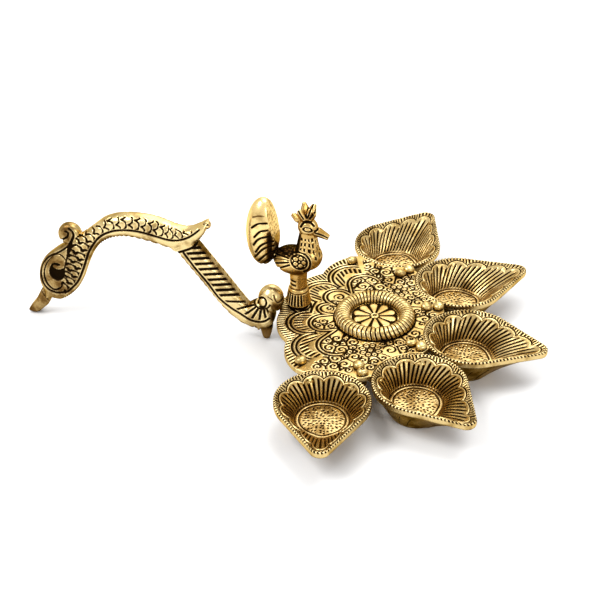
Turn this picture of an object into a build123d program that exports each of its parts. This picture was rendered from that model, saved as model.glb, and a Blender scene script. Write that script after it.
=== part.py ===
from build123d import *
import os
from math import acos, atan2, cos, degrees, radians, sin, sqrt

# A five-bowl aarti lamp: a lobed plate carries a fan of leaf-shaped bowls, a rope ring round a
# rosette, a peacock, and a swan-necked handle that stands on a small foot and on its beak.
# Millimetres and degrees. Heights start at the table. Plan positions start at the ring's middle,
# with +X towards the middle bowl, and the finished lamp is moved to stand over its own middle.

# Fits
FIT_GAP = 0.15
HOLE_GAP = 0.08
THROUGH = 1.0
SEAM_TURN = 71.0

# Plate
PLATE_TOP = 20.0
PLATE_THICK = 3.0
LOBE_RADIUS = 50.6
LOBE_DEPTH = 1.6
MIDDLE_LOBE_HALF = 9.5
SIDE_LOBE_HALF = 15.5
SHOULDER_RISE = 5.8
SHOULDER_TURN = 13.0
SHOULDER_MARGIN = 5.7
SHOULDER_END_TURN = 2.7

# Fan of bowls: each outline is a round rear, a nose beyond it and a rounded tip
FAN_GAP = 6.157
BOWL_ANGLES = (75.6, 37.8, -0.6, -37.3, -75.4)
BOWL_GAP = 0.5
WEB_SETBACK = 13.3
RIM_RADIUS = 23.6
RIM_SHIFT = 2.0
RIM_NOSE = 15.6
RIM_TIP_ROUND = 5.0
RIM_DEPTH = 3.4
RIM_LIP = 1.0
RIM_WIDTH = 4.6
RIM_TIP_WIDTH = 6.4
FLARE_DROP = 2.6
WALL_STEP = 1.0
BELLY_RADIUS = 18.2
BELLY_NOSE = 6.8
BELLY_HEIGHT = 9.0
BASE_RADIUS = 12.6
BASE_NOSE = 1.0
HOLLOW_RADIUS = 16.0
HOLLOW_NOSE = 6.0
HOLLOW_HEIGHT = 12.0
HOLLOW_TIP_ROUND = 3.6
FLOOR_RADIUS = 13.5
FLOOR_NOSE = 1.0
FLOOR_HEIGHT = 6.5

# Rivets that hold each bowl's two ears under the plate
RIVET_INNER_SETBACK = 22.3
RIVET_OUTER_SETBACK = 16.3
RIVET_END_SETBACK = 26.3
RIVET_END_TURN = 14.5
RIVET_HEAD_RADIUS = 2.85
RIVET_HEAD_SIDE = 2.2
RIVET_DOME = 1.2
RIVET_SHANK_RADIUS = 1.3
RIVET_TAIL_RADIUS = 2.1
RIVET_TAIL_HEIGHT = 1.0
EAR_HALF_WIDTH = 2.2
EAR_THICK = 2.5

# Rope ring and rosette
RING_RADIUS = 16.6
RING_TUBE = 4.1
RING_LIFT = 0.9
ROSETTE_RADIUS = 11.9
ROSETTE_THICK = 0.8
PETALS = 10
PETAL_RISE = 0.7
PETAL_START = 3.6
PETAL_ROOT_ROUND = 0.8
PETAL_END_ROUND = 2.3
PETAL_MARGIN = 0.4
BOSS_RADIUS = 2.3
BOSS_HEIGHT = 1.0
BOSS_SHANK = 1.4
BOSS_DIMPLE = 0.8

# Peacock: a turned pedestal, then the bird about the middle of its body
PEACOCK_SETBACK = 9.6
SKIRT_RADIUS = 6.8
SKIRT_TOP_RADIUS = 5.9
SKIRT_HEIGHT = 9.8
COLLAR_RADIUS = 6.3
COLLAR_HEIGHT = 1.8
STEM_RADIUS = 4.5
STEM_HEIGHT = 8.0
BODY_RADIUS = 7.8
BODY_HALF_LENGTH = 11.0
BODY_BACK = 2.2
BODY_RISE = 7.8
CHEST_RADIUS = 7.6
CHEST_FORE = 5.0
CHEST_RISE = 3.6
NECK_RADIUS = 6.0
NECK_TOP_RADIUS = 3.6
NECK_LENGTH = 12.0
HEAD_RADIUS = 5.1
HEAD_RISE = 20.8
BEAK_RADIUS = 3.6
BEAK_TIP_RADIUS = 1.5
BEAK_LENGTH = 11.9
BEAK_DROOP = 21.0
CROWN_RADIUS = 2.8
CROWN_RISE = 0.5
CREST_TURNS = (-52, 52, -128, 128, 180)
CREST_LEANS = (18, 18, 26, 26, 60)
FEATHER_RADIUS = 2.9
FEATHER_NOSE = 2.8
REAR_FEATHER_NOSE = 0.3
FEATHER_TIP_ROUND = 1.0
FEATHER_THICK = 2.8
FEATHER_SINK = 0.8
TAIL_RADIUS = 8.8
TAIL_HALF_HEIGHT = 19.4
TAIL_BACK = 18.7
TAIL_RISE = 14.0
TAIL_FACE_FORE = 7.3
TAIL_FACE_LEAN = 14.0

# Screw and washer under the peacock
SCREW_RADIUS = 2.0
SCREW_REACH = 12.0
SCREW_HEAD_RADIUS = 3.8
SCREW_HEAD_HEIGHT = 2.4
SLOT_WIDTH = 1.0
SLOT_DEPTH = 1.1
WASHER_RADIUS = 5.0
WASHER_THICK = 0.8

# Handle, in its own upright plane: reach out from the plate's edge, rise above the plate's top
HANDLE_TURN = 186.0
HANDLE_HALF_THICK = 5.2
SWAN_ROUND = 3.4
ARM_ROUND = 2.6
ROOT_REACH = 9.4
ROOT_DROP = 5.2
ROOT_RADIUS = 8.0
KNUCKLE_REACH = 3.7
KNUCKLE_RISE = 4.8
KNUCKLE_RADIUS = 6.8
KNUCKLE_HALF_HEIGHT = 7.8
CREST_SCROLL_RADIUS = 6.2
CREST_SCROLL_HALF_THICK = 3.6
CREST_SCROLL_ROUND = 2.0
BILL_HALF_THICK = 3.4
TONGUE_REACH = 11.4
TONGUE_ROOT = 6.0
TONGUE_WIDTH = 6.0

# The handle's outlines, as points of reach and rise
SWAN_BACK = (
    (125.9, -8.5), (129.2, 2.0), (127.0, 13.0), (119.4, 21.3), (109.4, 28.5), (99.9, 35.6),
    (89.9, 44.0), (78.4, 47.3), (64.4, 46.8), (52.4, 43.2), (45.2, 42.9), (35.4, 47.2),
)
SWAN_TIP = ((35.4, 47.2), (37.9, 40.4), (42.9, 34.6), (53.4, 29.4))
SWAN_BELLY = (
    (53.4, 29.4), (64.4, 32.4), (74.9, 34.3), (81.4, 34.2), (87.9, 32.2), (93.6, 28.0),
    (98.2, 21.2), (101.9, 12.5), (104.9, 4.6), (109.7, -3.2), (117.4, -9.3), (125.9, -8.5),
)
ARM_UNDER = ((51.9, 28.4), (29.4, -1.6), (21.6, -9.2))
ARM_OVER = ((14.0, -1.8), (42.4, 36.0))
CREST_SCROLL_SPOT = (110.2, 31.6)
TIP_ROLL_SPOT = (36.6, 45.3)
TIP_ROLL_RADIUS = 2.0
BILL_ROOT = ((122.9, -8.0), (128.7, -4.0), (132.6, -11.5))
BILL_TIP_REACH = 132.4
BILL_TIP_LENGTH = 4.8
BILL_TIP_RISE = 2.6
BILL_CHIN = (125.8, -13.8)

# Foot under the handle's root
FOOT_REACH = 6.4
FOOT_SINK = 1.5
FOOT_TOP_RADIUS = 3.5
FOOT_TIP_RADIUS = 1.8
FOOT_COLLAR = 1.6
FOOT_STUD_RADIUS = 2.0
FOOT_STUD_RISE = 5.0

# Places that follow from the sizes
PLATE_BOTTOM = PLATE_TOP - PLATE_THICK
EAR_BOTTOM = PLATE_BOTTOM - EAR_THICK
LEAST_TURN = min(a - b for a, b in zip(BOWL_ANGLES, BOWL_ANGLES[1:]))
FAN_RADIUS = (RIM_RADIUS + BOWL_GAP / 2) / sin(radians(LEAST_TURN / 2)) - RIM_SHIFT
FAN_X = RING_RADIUS + RING_TUBE + FAN_GAP + RIM_RADIUS - RIM_SHIFT - FAN_RADIUS
PEACOCK_SPOT = (PEACOCK_SETBACK - LOBE_RADIUS, 0)
BODY_Z = PLATE_TOP + SKIRT_HEIGHT + COLLAR_HEIGHT + STEM_HEIGHT + BODY_RISE
FOOT_SEAT = PLATE_TOP - ROOT_DROP - sqrt(ROOT_RADIUS**2 - (ROOT_REACH - FOOT_REACH) ** 2) + FOOT_SINK


def polar(radius, angle, centre_x=0.0):
    return (centre_x + radius * cos(radians(angle)), radius * sin(radians(angle)))


FOOT_SPOT = polar(LOBE_RADIUS + FOOT_REACH, HANDLE_TURN)
HANDLE_PLANE = Plane(
    origin=(*polar(LOBE_RADIUS, HANDLE_TURN), PLATE_TOP),
    x_dir=(*polar(1, HANDLE_TURN), 0),
    z_dir=(*polar(1, HANDLE_TURN - 90), 0),
)


def bar(radius, low, high, at=(0, 0)):
    """A round bar standing at a plan position between two heights."""
    rod = Cylinder(radius, high - low, align=(Align.CENTER, Align.CENTER, Align.MIN))
    return Pos(*at, low) * Rot(0, 0, SEAM_TURN) * rod


def hole(radius, low, high, at=(0, 0)):
    """A clearance hole for a bar, run past both faces."""
    return bar(radius + HOLE_GAP, low - THROUGH, high + THROUGH, at)


def egg(radius, half_height):
    """An upright egg of revolution about the origin, with its seam on +X."""
    right_half = Rectangle(2 * radius, 3 * half_height, align=(Align.MIN, Align.CENTER))
    profile = Ellipse(radius, half_height) & right_half
    return revolve(Plane.XZ * profile, Axis.Z)


def rounded(solid, radius):
    """A slab with the edges of its two flat faces rounded."""
    layers = solid.edges().group_by(Axis.Z)
    return fillet(layers[0] + layers[-1], radius)


def leaf(radius, shift, nose, tip_round, height):
    """A leaf outline: a round rear joined by two straight sides to a rounded tip on +X."""
    tip = shift + radius + nose
    reach = tip - tip_round
    turn = acos((radius - tip_round) / (reach - shift))
    rear = (shift + radius * cos(turn), radius * sin(turn))
    front = (reach + tip_round * cos(turn), tip_round * sin(turn))
    return Pos(0, 0, height) * make_face([
        ThreePointArc(rear, (shift - radius, 0), (rear[0], -rear[1])),
        Line((rear[0], -rear[1]), (front[0], -front[1])),
        ThreePointArc((front[0], -front[1]), (tip, 0), front),
        Line(front, rear),
    ])


def rim_face(grow=0.0):
    return leaf(RIM_RADIUS + grow, RIM_SHIFT, RIM_NOSE, RIM_TIP_ROUND + grow, 0)


def bowl_place(angle):
    return Pos(FAN_X, 0, 0) * Rot(0, 0, angle) * Pos(FAN_RADIUS, 0, 0)


def rivet_spots():
    """Each rivet's bowl and plan position: two between neighbours, one at each end of the fan."""
    last = len(BOWL_ANGLES) - 1
    end = FAN_RADIUS - RIVET_END_SETBACK
    spots = [(0, polar(end, BOWL_ANGLES[0] + RIVET_END_TURN, FAN_X))]
    for i in range(last):
        middle = (BOWL_ANGLES[i] + BOWL_ANGLES[i + 1]) / 2
        spots.append((i, polar(FAN_RADIUS - RIVET_INNER_SETBACK, middle, FAN_X)))
        spots.append((i + 1, polar(FAN_RADIUS - RIVET_OUTER_SETBACK, middle, FAN_X)))
    spots.append((last, polar(end, BOWL_ANGLES[last] - RIVET_END_TURN, FAN_X)))
    return spots


def shoulder_end(rivet, turn):
    """Where a shoulder meets its bowl: a margin outside the end rivet, turned towards the bowl."""
    reach = sqrt(rivet[0] ** 2 + rivet[1] ** 2) + SHOULDER_MARGIN
    return polar(reach, degrees(atan2(rivet[1], rivet[0])) + turn)


def plate_outline():
    """Three lobes and two shoulders round the handle side, closed by an arc behind the bowls."""
    inner = 180 - MIDDLE_LOBE_HALF
    outer = inner - 2 * SIDE_LOBE_HALF
    side = outer + SIDE_LOBE_HALF
    shoulder = outer - SHOULDER_TURN
    (_, first), (_, last) = rivet_spots()[0], rivet_spots()[-1]
    cusps = [polar(LOBE_RADIUS - LOBE_DEPTH, a) for a in (outer, inner, -inner, -outer)]
    crowns = [polar(LOBE_RADIUS, a) for a in (side, 180, -side)]
    ends = [shoulder_end(first, -SHOULDER_END_TURN), shoulder_end(last, SHOULDER_END_TURN)]
    humps = [polar(LOBE_RADIUS + SHOULDER_RISE, a) for a in (shoulder, -shoulder)]
    web = [polar(FAN_RADIUS - WEB_SETBACK, a, FAN_X) for a in (BOWL_ANGLES[-1], 0, BOWL_ANGLES[0])]
    edges = [ThreePointArc(ends[0], humps[0], cusps[0])]
    edges += [ThreePointArc(cusps[i], crowns[i], cusps[i + 1]) for i in range(len(crowns))]
    edges += [ThreePointArc(cusps[-1], humps[1], ends[1]), Line(ends[1], web[0])]
    edges += [ThreePointArc(*web), Line(web[2], ends[0])]
    return make_face(edges)


def tongue(grow=0.0):
    """The plate's tongue into the handle's root or, grown, the slot that takes it."""
    length = TONGUE_ROOT + TONGUE_REACH + grow
    block = Box(length, TONGUE_WIDTH + 2 * grow, PLATE_THICK + 2 * grow)
    middle = LOBE_RADIUS + TONGUE_REACH + grow - length / 2
    return Rot(0, 0, HANDLE_TURN) * Pos(middle, 0, PLATE_TOP - PLATE_THICK / 2) * block


def make_plate():
    face = plate_outline()
    for angle in BOWL_ANGLES:
        face -= bowl_place(angle) * rim_face(FIT_GAP)
    plate = Pos(0, 0, PLATE_BOTTOM) * extrude(face, PLATE_THICK)
    plate += tongue()
    for _, spot in rivet_spots():
        plate -= hole(RIVET_SHANK_RADIUS, PLATE_BOTTOM, PLATE_TOP, spot)
    plate -= hole(BOSS_SHANK, PLATE_BOTTOM, PLATE_TOP)
    plate -= hole(SCREW_RADIUS, PLATE_BOTTOM, PLATE_TOP, PEACOCK_SPOT)
    return plate - hole(FOOT_STUD_RADIUS, PLATE_BOTTOM, PLATE_TOP, FOOT_SPOT)


def bowl_ear(centre, spot):
    """A strip from the bowl's wall to a rivet, with a round end."""
    run = (spot[0] - centre[0], spot[1] - centre[1])
    start = RIM_RADIUS - RIM_WIDTH
    reach = sqrt(run[0] ** 2 + run[1] ** 2)
    strip = Box(
        reach - start, 2 * EAR_HALF_WIDTH, EAR_THICK,
        align=(Align.MIN, Align.CENTER, Align.MIN),
    )
    turn = degrees(atan2(run[1], run[0]))
    ear = Pos(*centre, EAR_BOTTOM) * Rot(0, 0, turn) * Pos(start, 0, 0) * strip
    return ear + bar(EAR_HALF_WIDTH, EAR_BOTTOM, PLATE_BOTTOM, spot)


def make_bowl(index):
    """A cast bowl with a flared rim and two ears that reach under the plate to its rivets."""
    under_rim = PLATE_TOP - RIM_DEPTH
    wall = loft([
        leaf(RIM_RADIUS - WALL_STEP, RIM_SHIFT, RIM_NOSE, RIM_TIP_ROUND, under_rim),
        leaf(BELLY_RADIUS, RIM_SHIFT / 2, BELLY_NOSE, HOLLOW_TIP_ROUND, BELLY_HEIGHT),
        leaf(BASE_RADIUS, 0, BASE_NOSE, BASE_RADIUS / 2, 0),
    ])
    mouth_nose = RIM_NOSE + RIM_WIDTH - RIM_TIP_WIDTH
    hollow = loft([
        leaf(RIM_RADIUS - RIM_LIP, RIM_SHIFT, RIM_NOSE, RIM_TIP_ROUND, PLATE_TOP),
        leaf(RIM_RADIUS - RIM_WIDTH, RIM_SHIFT, mouth_nose, RIM_TIP_ROUND, PLATE_TOP - FLARE_DROP),
        leaf(HOLLOW_RADIUS, RIM_SHIFT / 2, HOLLOW_NOSE, HOLLOW_TIP_ROUND, HOLLOW_HEIGHT),
        leaf(FLOOR_RADIUS, 0, FLOOR_NOSE, FLOOR_RADIUS / 2, FLOOR_HEIGHT),
    ])
    place = bowl_place(BOWL_ANGLES[index])
    bowl = place * (Pos(0, 0, under_rim) * extrude(rim_face(), RIM_DEPTH) + wall)
    centre = polar(FAN_RADIUS + RIM_SHIFT, BOWL_ANGLES[index], FAN_X)
    spots = [spot for owner, spot in rivet_spots() if owner == index]
    for spot in spots:
        bowl += bowl_ear(centre, spot)
    bowl -= place * hollow
    for spot in spots:
        bowl -= hole(RIVET_SHANK_RADIUS, EAR_BOTTOM, PLATE_BOTTOM, spot)
    return bowl


def make_bowl_rivets():
    """Round-headed rivets, clenched under the bowls' ears."""
    top = RIVET_HEAD_SIDE + RIVET_DOME
    ball = (RIVET_HEAD_RADIUS**2 + RIVET_DOME**2) / (2 * RIVET_DOME)
    part_way = RIVET_HEAD_RADIUS / 2
    profile = make_face([
        Polyline((0, top), (0, 0), (RIVET_HEAD_RADIUS, 0), (RIVET_HEAD_RADIUS, RIVET_HEAD_SIDE)),
        ThreePointArc(
            (RIVET_HEAD_RADIUS, RIVET_HEAD_SIDE),
            (part_way, top - ball + sqrt(ball**2 - part_way**2)),
            (0, top),
        ),
    ])
    head = revolve(Plane.XZ * profile, Axis.Z)
    solids = []
    for _, spot in rivet_spots():
        rivet = Pos(*spot, PLATE_TOP) * head
        rivet += bar(RIVET_SHANK_RADIUS, EAR_BOTTOM, PLATE_TOP, spot)
        rivet += bar(RIVET_TAIL_RADIUS, EAR_BOTTOM - RIVET_TAIL_HEIGHT, EAR_BOTTOM, spot)
        solids.append(rivet.solid())
    return Compound(solids)


def make_rope_ring():
    span = 3 * (RING_RADIUS + RING_TUBE)
    below = Box(span, span, RING_TUBE, align=(Align.CENTER, Align.CENTER, Align.MAX))
    return Pos(0, 0, PLATE_TOP + RING_LIFT) * Torus(RING_RADIUS, RING_TUBE) - Pos(0, 0, PLATE_TOP) * below


def make_rosette():
    """A thin disc with raised petals, pierced for its rivet."""
    top = PLATE_TOP + ROSETTE_THICK
    rosette = bar(ROSETTE_RADIUS, PLATE_TOP, top)
    petal_length = ROSETTE_RADIUS - PETAL_MARGIN - PETAL_START
    outline = leaf(PETAL_END_ROUND, 0, petal_length - 2 * PETAL_END_ROUND, PETAL_ROOT_ROUND, top)
    place = Pos(PETAL_START + petal_length - PETAL_END_ROUND, 0, 0) * Rot(0, 0, 180)
    petal = place * extrude(outline, PETAL_RISE)
    for i in range(PETALS):
        rosette += Rot(0, 0, 360 / PETALS * i) * petal
    return rosette - hole(BOSS_SHANK, PLATE_TOP, top)


def make_rosette_rivet():
    top = PLATE_TOP + ROSETTE_THICK
    rivet = bar(BOSS_RADIUS, top, top + BOSS_HEIGHT)
    rivet += bar(BOSS_SHANK, PLATE_BOTTOM, top)
    rivet += bar(BOSS_RADIUS, PLATE_BOTTOM - BOSS_HEIGHT, PLATE_BOTTOM)
    return rivet - bar(BOSS_DIMPLE, top + BOSS_HEIGHT / 2, top + 2 * BOSS_HEIGHT)


def pedestal():
    """The fluted skirt, its collar and the stem up into the bird's body."""
    collar = SKIRT_HEIGHT + COLLAR_HEIGHT
    stem = collar + STEM_HEIGHT + BODY_RISE / 2
    profile = make_face(Polyline(
        (0, 0), (SKIRT_RADIUS, 0), (SKIRT_TOP_RADIUS, SKIRT_HEIGHT), (COLLAR_RADIUS, SKIRT_HEIGHT),
        (COLLAR_RADIUS, collar), (STEM_RADIUS, collar), (STEM_RADIUS, stem), (0, stem), close=True,
    ))
    return Pos(*PEACOCK_SPOT, PLATE_TOP) * revolve(Plane.XZ * profile, Axis.Z)


def bird():
    """The bird about the middle of its body, facing +X, with its raised tail behind."""
    body = Pos(-BODY_BACK, 0, 0) * Rot(0, 90, 0) * egg(BODY_RADIUS, BODY_HALF_LENGTH)
    body += Pos(CHEST_FORE, 0, CHEST_RISE) * Sphere(CHEST_RADIUS)
    neck = Cone(NECK_RADIUS, NECK_TOP_RADIUS, NECK_LENGTH, align=(Align.CENTER, Align.CENTER, Align.MIN))
    body += Pos(CHEST_FORE, 0, HEAD_RISE - NECK_LENGTH) * neck
    head = Sphere(HEAD_RADIUS) + bar(CROWN_RADIUS, 0, HEAD_RADIUS + CROWN_RISE)
    beak = Cone(BEAK_RADIUS, BEAK_TIP_RADIUS, BEAK_LENGTH, align=(Align.CENTER, Align.CENTER, Align.MIN))
    head += Rot(0, 90 + BEAK_DROOP, 0) * beak
    root = HEAD_RADIUS - FEATHER_SINK
    for turn, lean in zip(CREST_TURNS, CREST_LEANS):
        nose = REAR_FEATHER_NOSE if turn == 180 else FEATHER_NOSE
        outline = leaf(FEATHER_RADIUS, FEATHER_RADIUS, nose, FEATHER_TIP_ROUND, 0)
        feather = Rot(0, -90, 0) * extrude(outline, FEATHER_THICK / 2, both=True)
        head += Rot(0, 0, turn) * Rot(0, lean, 0) * Pos(0, 0, root) * feather
    body += Pos(CHEST_FORE, 0, HEAD_RISE) * head
    front = Box(*[3 * TAIL_HALF_HEIGHT] * 3, align=(Align.MIN, Align.CENTER, Align.CENTER))
    tail = egg(TAIL_RADIUS, TAIL_HALF_HEIGHT)
    tail -= Pos(TAIL_FACE_FORE, 0, 0) * Rot(0, -TAIL_FACE_LEAN, 0) * front
    return body + Pos(-TAIL_BACK, 0, TAIL_RISE) * tail


def make_peacock():
    """Bird and pedestal, one casting, tapped from below."""
    tapping = bar(SCREW_RADIUS + HOLE_GAP, PLATE_TOP - THROUGH, PLATE_TOP + SCREW_REACH, PEACOCK_SPOT)
    return pedestal() - tapping + Pos(*PEACOCK_SPOT, BODY_Z) * bird()


def make_peacock_screw():
    seat = PLATE_BOTTOM - WASHER_THICK
    low = seat - SCREW_HEAD_HEIGHT
    screw = bar(SCREW_HEAD_RADIUS, low, seat, PEACOCK_SPOT)
    screw += bar(SCREW_RADIUS, seat, PLATE_TOP + SCREW_REACH - FIT_GAP, PEACOCK_SPOT)
    slot = Box(3 * SCREW_HEAD_RADIUS, SLOT_WIDTH, 2 * SLOT_DEPTH)
    return screw - Pos(*PEACOCK_SPOT, low) * slot


def make_peacock_washer():
    seat = PLATE_BOTTOM - WASHER_THICK
    washer = bar(WASHER_RADIUS, seat, PLATE_BOTTOM, PEACOCK_SPOT)
    return washer - hole(SCREW_RADIUS, seat, PLATE_BOTTOM, PEACOCK_SPOT)


def swan_slab():
    """Head, neck, arch and the flipped tail tip, rounded like a smooth bar."""
    outline = make_face([Spline(*SWAN_BACK), Spline(*SWAN_TIP), Spline(*SWAN_BELLY)])
    slab = rounded(extrude(outline, HANDLE_HALF_THICK, both=True), SWAN_ROUND)
    return slab + Pos(*TIP_ROLL_SPOT) * Sphere(TIP_ROLL_RADIUS)


def arm_slab():
    """The straight arm, easing into the round root at its lower end."""
    root = (ROOT_REACH, -ROOT_DROP)
    low = (ROOT_REACH, -ROOT_DROP - ROOT_RADIUS)
    arm = make_face([
        Spline(*ARM_UNDER, low, tangents=[(-0.6, -0.8), (-1, 0)]),
        Polyline(low, root, *ARM_OVER, ARM_UNDER[0]),
    ])
    slab = extrude(arm, HANDLE_HALF_THICK, both=True)
    slab += Pos(*root) * Cylinder(ROOT_RADIUS, 2 * HANDLE_HALF_THICK)
    return rounded(slab, ARM_ROUND)


def bill_slab():
    """The flat bill, whose tip rests on the table."""
    table = -PLATE_TOP
    tip = ((BILL_TIP_REACH + BILL_TIP_LENGTH, table + BILL_TIP_RISE), (BILL_TIP_REACH, table))
    outline = Polyline(*BILL_ROOT, *tip, BILL_CHIN, close=True)
    return extrude(make_face(outline), BILL_HALF_THICK, both=True)


def make_handle():
    """One casting: bill, head with its crest, arch, arm, and a rolled root over the plate's edge."""
    crest = Pos(*CREST_SCROLL_SPOT) * rounded(
        Cylinder(CREST_SCROLL_RADIUS, 2 * CREST_SCROLL_HALF_THICK), CREST_SCROLL_ROUND
    )
    knuckle = Pos(KNUCKLE_REACH, KNUCKLE_RISE) * Rot(90, 0, 0) * egg(KNUCKLE_RADIUS, KNUCKLE_HALF_HEIGHT)
    handle = HANDLE_PLANE * (arm_slab() + knuckle)
    handle -= bar(LOBE_RADIUS + FIT_GAP, PLATE_BOTTOM - FIT_GAP, PLATE_TOP)
    handle -= tongue(FIT_GAP)
    handle -= bar(FOOT_TOP_RADIUS + FIT_GAP, 0, FOOT_SEAT, FOOT_SPOT)
    handle -= bar(FOOT_STUD_RADIUS + HOLE_GAP, 0, PLATE_TOP + FOOT_STUD_RISE + FIT_GAP, FOOT_SPOT)
    return handle + HANDLE_PLANE * (swan_slab() + crest + bill_slab())


def make_foot():
    """A cone on the table whose stud draws the handle's root on to the plate's tongue."""
    taper = FOOT_SEAT - FOOT_COLLAR
    cone = Cone(FOOT_TIP_RADIUS, FOOT_TOP_RADIUS, taper, align=(Align.CENTER, Align.CENTER, Align.MIN))
    foot = Pos(*FOOT_SPOT, 0) * cone + bar(FOOT_TOP_RADIUS, taper, FOOT_SEAT, FOOT_SPOT)
    return foot + bar(FOOT_STUD_RADIUS, FOOT_SEAT, PLATE_TOP + FOOT_STUD_RISE, FOOT_SPOT)


def make_pieces():
    pieces = {
        "plate": make_plate(),
        "rope_ring": make_rope_ring(),
        "rosette": make_rosette(),
        "rosette_rivet": make_rosette_rivet(),
        "bowl_rivets": make_bowl_rivets(),
        "peacock": make_peacock(),
        "peacock_screw": make_peacock_screw(),
        "peacock_washer": make_peacock_washer(),
        "handle": make_handle(),
        "handle_foot": make_foot(),
    }
    for i in range(len(BOWL_ANGLES)):
        pieces[f"bowl_{i + 1}"] = make_bowl(i)
    return pieces


def main():
    pieces = make_pieces()
    boxes = [piece.bounding_box() for piece in pieces.values()]
    middle_x = (min(b.min.X for b in boxes) + max(b.max.X for b in boxes)) / 2
    middle_y = (min(b.min.Y for b in boxes) + max(b.max.Y for b in boxes)) / 2
    print(f"ring middle at {-middle_x:.3f}, {-middle_y:.3f}; fan radius {FAN_RADIUS:.3f}")
    os.makedirs("parts", exist_ok=True)
    for name, piece in pieces.items():
        export_step(Pos(-middle_x, -middle_y, 0) * piece, f"parts/{name}.step")


if __name__ == "__main__":
    main()
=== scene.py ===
"""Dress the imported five-bowl aarti lamp as a gold-oxidised casting, for a plain white studio.

Sizes are millimetres. Nought is the middle of the rope ring, on the plate's top, with +X towards the
middle bowl and +Z up. The finished meshes are in the frame's metres.
"""
import logging
import math
from collections.abc import Callable, Sequence
from dataclasses import dataclass
from enum import Enum

import bmesh
import bpy
import numpy as np
from bmesh.types import BMEdge, BMesh
from bpy.types import Material, Mesh, NodeSocket, NodeTree, Object
from mathutils import Matrix, Vector

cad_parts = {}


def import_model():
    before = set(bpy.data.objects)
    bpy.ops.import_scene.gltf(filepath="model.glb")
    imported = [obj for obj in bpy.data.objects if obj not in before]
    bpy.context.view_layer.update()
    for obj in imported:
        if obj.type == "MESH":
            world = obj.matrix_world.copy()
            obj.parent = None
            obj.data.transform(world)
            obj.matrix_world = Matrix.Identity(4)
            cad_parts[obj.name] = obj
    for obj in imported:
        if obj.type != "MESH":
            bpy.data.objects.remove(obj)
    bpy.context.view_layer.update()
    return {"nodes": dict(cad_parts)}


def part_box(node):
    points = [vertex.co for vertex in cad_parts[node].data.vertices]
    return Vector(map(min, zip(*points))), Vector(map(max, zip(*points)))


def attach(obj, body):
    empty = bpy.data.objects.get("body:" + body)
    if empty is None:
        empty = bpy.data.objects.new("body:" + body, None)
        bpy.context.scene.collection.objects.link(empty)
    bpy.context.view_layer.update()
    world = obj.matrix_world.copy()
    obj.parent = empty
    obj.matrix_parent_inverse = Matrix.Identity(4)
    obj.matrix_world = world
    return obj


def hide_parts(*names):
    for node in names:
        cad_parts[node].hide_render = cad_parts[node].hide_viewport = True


log = logging.getLogger("aarti_lamp")

Array = np.ndarray
Band = tuple[float, float]
Plan = tuple[float, float]
Point = tuple[float, float, float]
Circle = tuple[float, float, float]
Colour = tuple[float, float, float]
Skinned = tuple[Array, Array]
Shape = Callable[[Array, Array], Skinned]

TAU = 2 * math.pi
METRE = 1000.0
# How near vertices are merged: in finished meshes, in metres, and in forms, in millimetres
WELD = 2e-7
SEAM = 1e-4
# Painted shade on faces that look down: how brown it makes them, and the leans between which it gets so
UNDERSIDE_SHADE = 0.4
UNDERSIDE_SHADE_LEAN = (-0.2, 0.7)
# The share of its room that the rounding of a thin tip takes up
TIP_SHARE = 0.85


class Body(Enum):
    """The bodies that pieces ride on."""

    LAMP = "lamp"
    BIRD = "bird"


class Slot(Enum):
    """The record's material slots that the dressed pieces take."""

    PLATE = "engraved_plate"
    ORNAMENT = "cast_ornament"
    HANDLE = "cast_handle"
    BOWL = "cast_bowl"
    RIVET = "rivet_metal"
    FOOT = "dark_foot"


# Lines, strokes and curls that the relief is drawn with


def ease(low: float, high: float, value: Array) -> Array:
    """Step smoothly from 0 to 1.

    Args:
        low: Where the step starts.
        high: Where the step ends.
        value: What is tested.

    Returns:
        0 below low, 1 above high and a smooth step between.
    """
    share = np.clip((value - low) / (high - low), 0, 1)
    return share * share * (3 - 2 * share)


def stroke(distance: Array, half_width: float, soft: float = 0.26) -> Array:
    """Draw a cut line.

    Args:
        distance: Distance from the line's middle.
        half_width: Half of the line's width.
        soft: How far its edges are eased.

    Returns:
        1 along the line, easing to 0 beyond it.
    """
    return 1 - ease(half_width - soft, half_width + soft, np.abs(distance))


def ripple(turns: Array) -> Array:
    """Return the distance, in turns, from the nearest whole turn."""
    return np.abs(turns - np.round(turns))


def rungs(run: Array, pitch: float, half_width: float, span: Array | float | None = None) -> Array:
    """Draw even lines across a run.

    Args:
        run: Where each point is along the run.
        pitch: The lines' spacing on the run.
        half_width: Half of a line's width.
        span: The spacing in millimetres, where the run is in other units.

    Returns:
        1 along the lines, easing to 0 between them.
    """
    return stroke(ripple(run / pitch) * (pitch if span is None else span), half_width)


def inset_lines(gap: Array, lines: Sequence[Band]) -> Array:
    """Draw lines inside an outline, each given by its inset and its half width."""
    return np.maximum.reduce([stroke(gap + inset, half) for inset, half in lines])


def polar(radius: float, degrees: float, middle_x: float = 0.0) -> Plan:
    """Return the plan position at a radius and an angle about a point on the X axis."""
    angle = math.radians(degrees)
    return (middle_x + radius * math.cos(angle), radius * math.sin(angle))


def smooth_path(points: Sequence[Plan], steps: int = 8) -> Array:
    """Run a smooth line through points.

    Args:
        points: The points, in order.
        steps: How many steps each span is drawn in.

    Returns:
        The line's points, one row each.
    """
    knots = np.array(points, float)
    ends = np.vstack([2 * knots[0] - knots[1], knots, 2 * knots[-1] - knots[-2]])
    share = np.linspace(0, 1, steps, endpoint=False)[:, None]
    spans = []
    for a, b, c, d in zip(ends, ends[1:], ends[2:], ends[3:]):
        curve = (2 * a - 5 * b + 4 * c - d) * share**2 + (3 * b - a - 3 * c + d) * share**3
        spans.append(0.5 * (2 * b + (c - a) * share + curve))
    return np.vstack([*spans, knots[-1:]])


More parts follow.
